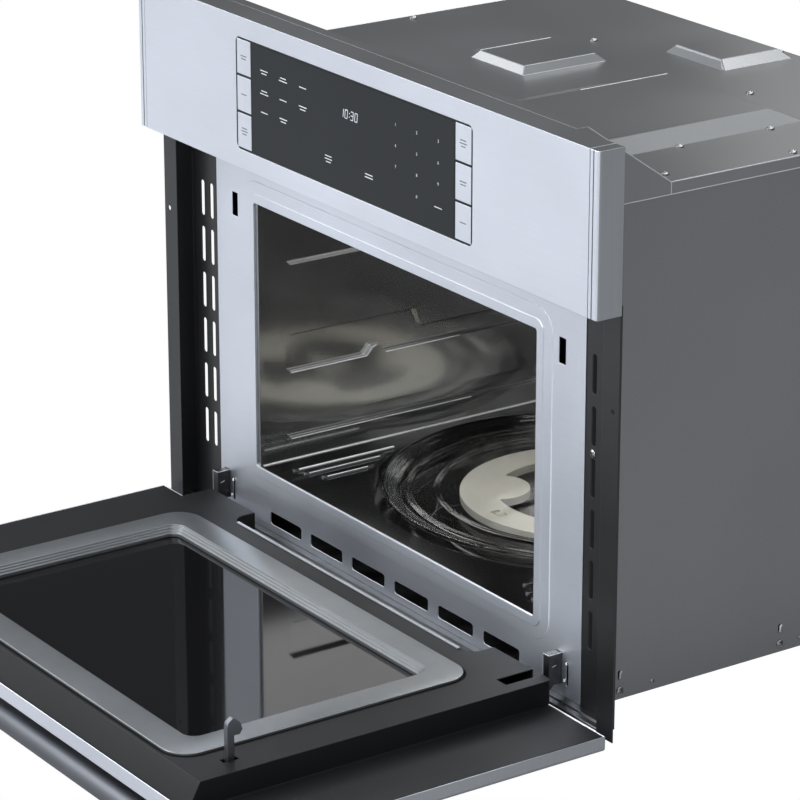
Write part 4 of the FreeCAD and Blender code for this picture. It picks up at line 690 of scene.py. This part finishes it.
# painted highlights: the bright beads on the arm's front edges, its top and its pressed dash; the prongs are
# bright steel
def hingeTrim(label, x):
    look = hingeLook
    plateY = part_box("front_plate")[1].y - frontSheet
    front = plateY - look["front"] * mm
    edge, top, low = look["half"] * mm, look["top"] * mm, look["low"] * mm
    lines = {"rim": [(x - edge, front, low), (x - edge, front, top), (x + edge, front, top)],
             "lid": [(x + edge, front, top), (x + edge, plateY, top)],
             "dash": [(x + edge, front + back * mm, top - down * mm) for back, down in look["dash"]]}
    for part, (across, up) in look["prongs"].items():
        lines[part] = [(x + (across + right) * mm, plateY + back * mm, (up + rise) * mm)
                       for right, back, rise in look["prongLine"]]
    for part, line in lines.items():
        sheetBead("hinge_" + part + "_" + label, line, "highlight_and_bare_steel", "oven", look["radius"][part])


for _, label in sides:
    low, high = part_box("hinge_arm_" + label)
    hingeTrim(label, (low.x + high.x) / 2)

# painted shadow: a near-black sheet in the hook notch at the hinge end of the door, where there is only
# shade; its low and high x, y and z in millimetres
shadeLook = {"x": (204.0, 252.0), "y": (-257.2, -256.6), "z": (-6.0, 9.0)}


def notchShadow():
    # the eight corners of a box, each taken from the low or the high end of every axis
    ends = np.array([shadeLook["x"], shadeLook["y"], shadeLook["z"]]) * mm
    pick = np.stack([(boxCorners[:, 0] + 1) // 2, boxCorners[:, 1], (boxCorners[:, 2] + 1) // 2], -1)
    points = np.take_along_axis(ends[None], pick[..., None], 2)[..., 0]
    addPiece("notch_painted_shadow", points, boxFaces, "shadow_gap", "door")


notchShadow()
print("ramps and hinge trim made")

# print on the control glass and the keys, in millimetres: its thickness, height of a label's bar, distance
# from bar to bar, and size of a keypad digit
printLook = {"raise": 0.15, "bar": 0.9, "lines": 2.9, "digit": 4.2}


def printBars(name, bars, finish, body, slant=0.0):
    # every bar is a flat box: centre across, centre up, width and height in millimetres; a slant shifts each
    # corner across by that share of its height over the mean
    bars = np.array(bars, float)
    half = bars[:, None, 2:] / 2
    x = bars[:, None, 0] + boxCorners[None, :, 0] * half[..., 0]
    z = bars[:, None, 1] + boxCorners[None, :, 2] * half[..., 1]
    x = x + slant * (z - bars[:, None, 1].mean())
    y = np.broadcast_to(boxCorners[None, :, 1] * printLook["raise"] - printLook["raise"], x.shape)
    points = np.stack([x * mm, faceY + y * mm, fasciaZ + z * mm], -1)
    faces = boxFaces[None] + len(boxCorners) * np.arange(len(bars))[:, None, None]
    return addPiece(name, points, faces.reshape(-1, 4), finish, body)


def labelBars(x, z, widths):
    # lines of a label, one bar for each, stacked about the label's middle
    count = len(widths)
    return [(x, z + ((count - 1) / 2 - row) * printLook["lines"], width, printLook["bar"])
            for row, width in enumerate(widths)]


# label places across and up in millimetres from the fascia's lower front edge: columns, rows and the zero's
# row, widths of the bars that the glass labels and the keys take in turn, and the labels that stand alone
labelLook = {"left": (-145.0, -111.8, -78.0), "right": (75.5, 109.3, 142.9), "rows": (104.8, 84.8, 65.0),
             "zeroRow": 44.8, "widths": ((13, 9), (10, 14), (12,)), "keyWidths": ((9,), (10, 8), (9, 11, 7)),
             "alone": ((-35.0, 45.9, (11, 12, 8)), (32.3, 45.4, (12, 13)), (142.9, 43.0, (12,)))}


def glassLabels():
    # three columns of labels, the last one a row shorter, then those that stand alone
    bars, turns = [], labelLook["widths"]
    for column, x in enumerate(labelLook["left"]):
        rows = labelLook["rows"][:2] if column == 2 else labelLook["rows"]
        for row, z in enumerate(rows):
            bars += labelBars(x, z, turns[(column + row) % len(turns)])
    for x, z, widths in labelLook["alone"]:
        bars += labelBars(x, z, widths)
    return bars


printBars("glass_labels", glassLabels(), "panel_print", "oven")

# clock in millimetres: height, width and stroke of a digit, the first one's middle, the step to the next and
# the slant; the colon's shift, half its spread, its dots and its step
clockLook = {"text": "10:30", "high": 8.0, "wide": 4.0, "stroke": 0.85, "x": -11.4, "z": 96.3, "step": 6.8,
             "slant": 0.12, "colonShift": -1.4, "colonHalf": 1.8, "dot": 1.1, "colonStep": 2.6}
# seven straight strokes a digit, as a b c d e f g from the top round to the middle
strokes = {"0": "abcdef", "1": "bc", "3": "abcdg"}


def clockBars():
    look = clockLook
    high, wide, thin = look["high"], look["wide"], look["stroke"]
    spots = {"a": (0, high / 2, wide, thin), "d": (0, -high / 2, wide, thin), "g": (0, 0, wide, thin),
             "b": (wide / 2, high / 4, thin, high / 2), "c": (wide / 2, -high / 4, thin, high / 2),
             "f": (-wide / 2, high / 4, thin, high / 2), "e": (-wide / 2, -high / 4, thin, high / 2)}
    bars, x = [], look["x"]
    for sign in look["text"]:
        if sign == ":":
            bars += [(x + look["colonShift"], look["z"] + lift, look["dot"], look["dot"])
                     for lift in (-look["colonHalf"], look["colonHalf"])]
            x += look["colonStep"]
            continue
        for key in strokes[sign]:
            across, up, width, height = spots[key]
            bars.append((x + across, look["z"] + up, width, height))
        x += look["step"]
    return bars


printBars("clock_digits", clockBars(), "panel_print", "oven", clockLook["slant"])


def digitArrays(text, size):
    # a numeral as points and faces, centred, lying in the X Z plane and facing the front
    curve = bpy.data.curves.new("numeral", "FONT")
    curve.body = text
    curve.size = size
    curve.extrude = printLook["raise"] / 2
    curve.align_x, curve.align_y = "CENTER", "CENTER"
    holder = bpy.data.objects.new("numeral", curve)
    bpy.context.scene.collection.objects.link(holder)
    bpy.context.view_layer.update()
    mesh = bpy.data.meshes.new_from_object(holder.evaluated_get(bpy.context.evaluated_depsgraph_get()))
    flat = np.zeros(len(mesh.vertices) * 3)
    mesh.vertices.foreach_get("co", flat)
    flat = flat.reshape(-1, 3)
    polygons = [list(face.vertices) for face in mesh.polygons]
    bpy.data.objects.remove(holder)
    bpy.data.meshes.remove(mesh)
    bpy.data.curves.remove(curve)
    return np.stack([flat[:, 0], -flat[:, 2] - printLook["raise"] / 2, flat[:, 1]], -1), polygons


def keypadDigits():
    # each numeral's points move to its place, and its faces count on from those before
    points, faces, start = [], [], 0
    places = [(str(3 * row + column + 1), x, z) for row, z in enumerate(labelLook["rows"])
              for column, x in enumerate(labelLook["right"])]
    places.append(("0", labelLook["right"][1], labelLook["zeroRow"]))
    for text, x, z in places:
        shape, polygons = digitArrays(text, printLook["digit"])
        points.append(shape * mm + atFace(x, 0, z))
        faces += [[start + corner for corner in polygon] for polygon in polygons]
        start += len(shape)
    mesh = bpy.data.meshes.new("keypad_digits")
    mesh.from_pydata(np.vstack(points).tolist(), [], faces)
    piece = bpy.data.objects.new("keypad_digits", mesh)
    bpy.context.scene.collection.objects.link(piece)
    mesh.materials.append(finishes["panel_print"])
    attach(piece, "oven")


keypadDigits()
keyTurns = labelLook["keyWidths"]
for _, label in sides:
    for row in keyRows:
        low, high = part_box("key_" + label + "_" + str(row))
        middleX, middleZ = (low.x + high.x) / 2 / mm, ((low.z + high.z) / 2 - fasciaZ) / mm
        widths = keyTurns[(row + len(label)) % len(keyTurns)]
        printBars("key_label_" + label + "_" + str(row), labelBars(middleX, middleZ, widths), "key_print",
                  "button_" + label + "_" + str(row))
print("print made")

# stage: a wide pale floor under the lowest point, white to the camera; half its width and the gap in metres
stageLook = {"half": 30.0, "gap": 0.5 * mm, "corners": 3, "tint": (0.50, 0.50, 0.51)}


def cameraMix(tree, usual, seen, surface):
    # one shader for all rays, and another for what the camera sees
    path = tree.nodes.new("ShaderNodeLightPath")
    mix = tree.nodes.new("ShaderNodeMixShader")
    tree.links.new(path.outputs["Is Camera Ray"], mix.inputs["Fac"])
    tree.links.new(usual, mix.inputs[1])
    tree.links.new(seen, mix.inputs[2])
    tree.links.new(mix.outputs["Shader"], surface)


def paleFloor():
    # a square grid of corners, level, one gap below the part
    count = stageLook["corners"]
    line = np.linspace(-stageLook["half"], stageLook["half"], count)
    x, y = np.meshgrid(line, line, indexing="ij")
    points = np.stack([x, y, np.full_like(x, cadLow.z - stageLook["gap"])], -1)
    mesh = bpy.data.meshes.new("floor")
    faces = gridFaces(count, count, False, False)[:, ::-1]
    mesh.from_pydata(points.reshape(-1, 3).tolist(), [], faces.tolist())
    floor = bpy.data.objects.new("floor", mesh)
    bpy.context.scene.collection.objects.link(floor)
    material = bpy.data.materials.new("paleFloor")
    material.use_nodes = True
    tree = material.node_tree
    tree.nodes.clear()
    matte = tree.nodes.new("ShaderNodeBsdfDiffuse")
    matte.inputs["Color"].default_value = (*stageLook["tint"], 1.0)
    glow = tree.nodes.new("ShaderNodeEmission")
    out = tree.nodes.new("ShaderNodeOutputMaterial")
    cameraMix(tree, matte.outputs["BSDF"], glow.outputs["Emission"], out.inputs["Surface"])
    mesh.materials.append(material)


# light: a surround that is bright in front and overhead and dim low at the back, then soft boxes and the oven
# lamp under the cavity ceiling, each with its place, aim, size in metres and power, white without a tint
surroundLook = {"tint": (0.93, 0.96, 1.0), "dim": 0.12, "bright": 0.95, "front": (0.0, -0.45),
                "top": (0.40, 0.66)}
softBoxes = {
    "front": {"place": (-1.8, -3.4, 2.6), "aim": (-0.8, -0.6, 0.0), "size": 2.6, "power": 122.0,
              "tint": (0.92, 0.96, 1.0)},
    "camera": {"place": (2.6, -3.6, 2.2), "aim": (0.0, -0.15, 0.28), "size": 1.6, "power": 30.0},
    "top": {"place": (0.4, 0.4, 3.4), "aim": (0.0, -0.15, 0.28), "size": 2.2, "power": 20.0},
    "back": {"place": (-1.0, 1.5, 1.3), "aim": (0.2, 0.1, 0.48), "size": 0.8, "power": 1.5},
    "left": {"place": (-2.4, -1.25, 1.95), "aim": (-0.1, -0.05, 0.49), "size": 0.8, "power": 11.0},
    "rear": {"place": (-0.25, 1.4, 2.5), "aim": (0.0, 0.15, 0.49), "size": 0.6, "power": 6.0},
    "lamp": {"place": (0.0, -0.01, 0.341), "aim": (0.0, -0.01, 0.0), "size": 0.27, "power": 0.90},
}
whiteTint = (1.0, 1.0, 1.0)


def studioLight():
    world = bpy.data.worlds.new("surround")
    bpy.context.scene.world = world
    world.use_nodes = True
    tree = world.node_tree
    lit = tree.nodes["Background"]
    lit.inputs["Color"].default_value = (*surroundLook["tint"], 1.0)
    split = tree.nodes.new("ShaderNodeSeparateXYZ")
    tree.links.new(tree.nodes.new("ShaderNodeTexCoord").outputs["Generated"], split.inputs["Vector"])
    ahead = rampBetween(tree, split.outputs["Y"], surroundLook["front"])
    above = rampBetween(tree, split.outputs["Z"], surroundLook["top"])
    most = mathNode(tree, "MAXIMUM", ahead.outputs["Result"], above.outputs["Result"])
    power = rampBetween(tree, most, (0.0, 1.0), "LINEAR")
    power.inputs["To Min"].default_value = surroundLook["dim"]
    power.inputs["To Max"].default_value = surroundLook["bright"]
    tree.links.new(power.outputs["Result"], lit.inputs["Strength"])
    plain = tree.nodes.new("ShaderNodeBackground")
    plain.inputs["Color"].default_value = (*whiteTint, 1.0)
    cameraMix(tree, lit.outputs["Background"], plain.outputs["Background"],
              tree.nodes["World Output"].inputs["Surface"])
    for name, look in softBoxes.items():
        lamp = bpy.data.lights.new(name + "_softbox", "AREA")
        lamp.size = look["size"]
        lamp.energy = look["power"]
        lamp.color = look.get("tint", whiteTint)
        holder = bpy.data.objects.new(name + "_softbox", lamp)
        holder.location = look["place"]
        toAim = Vector(look["aim"]) - Vector(look["place"])
        holder.rotation_euler = toAim.to_track_quat("-Z", "Y").to_euler()
        bpy.context.scene.collection.objects.link(holder)


# camera: place in metres, heading from +Y towards -X and tilt down in degrees, lens and sensor in
# millimetres, and how far it sees in metres
cameraLook = {"place": (2.8089, -2.1559, 1.4367), "heading": 55.424, "tilt": 19.843, "lens": 170.816,
              "sensor": 36.0, "reach": 100.0}


def photoCamera():
    data = bpy.data.cameras.new("photo_camera")
    data.lens = cameraLook["lens"]
    data.sensor_width = cameraLook["sensor"]
    data.clip_end = cameraLook["reach"]
    camera = bpy.data.objects.new("photo_camera", data)
    heading, tilt = math.radians(cameraLook["heading"]), math.radians(cameraLook["tilt"])
    level = math.cos(tilt)
    ahead = Vector((-math.sin(heading) * level, math.cos(heading) * level, -math.sin(tilt)))
    camera.location = cameraLook["place"]
    camera.rotation_euler = ahead.to_track_quat("-Z", "Y").to_euler()
    bpy.context.scene.collection.objects.link(camera)
    bpy.context.scene.camera = camera


paleFloor()
studioLight()
photoCamera()
bpy.context.scene.view_settings.view_transform = "Standard"
print("stage, light and camera set")
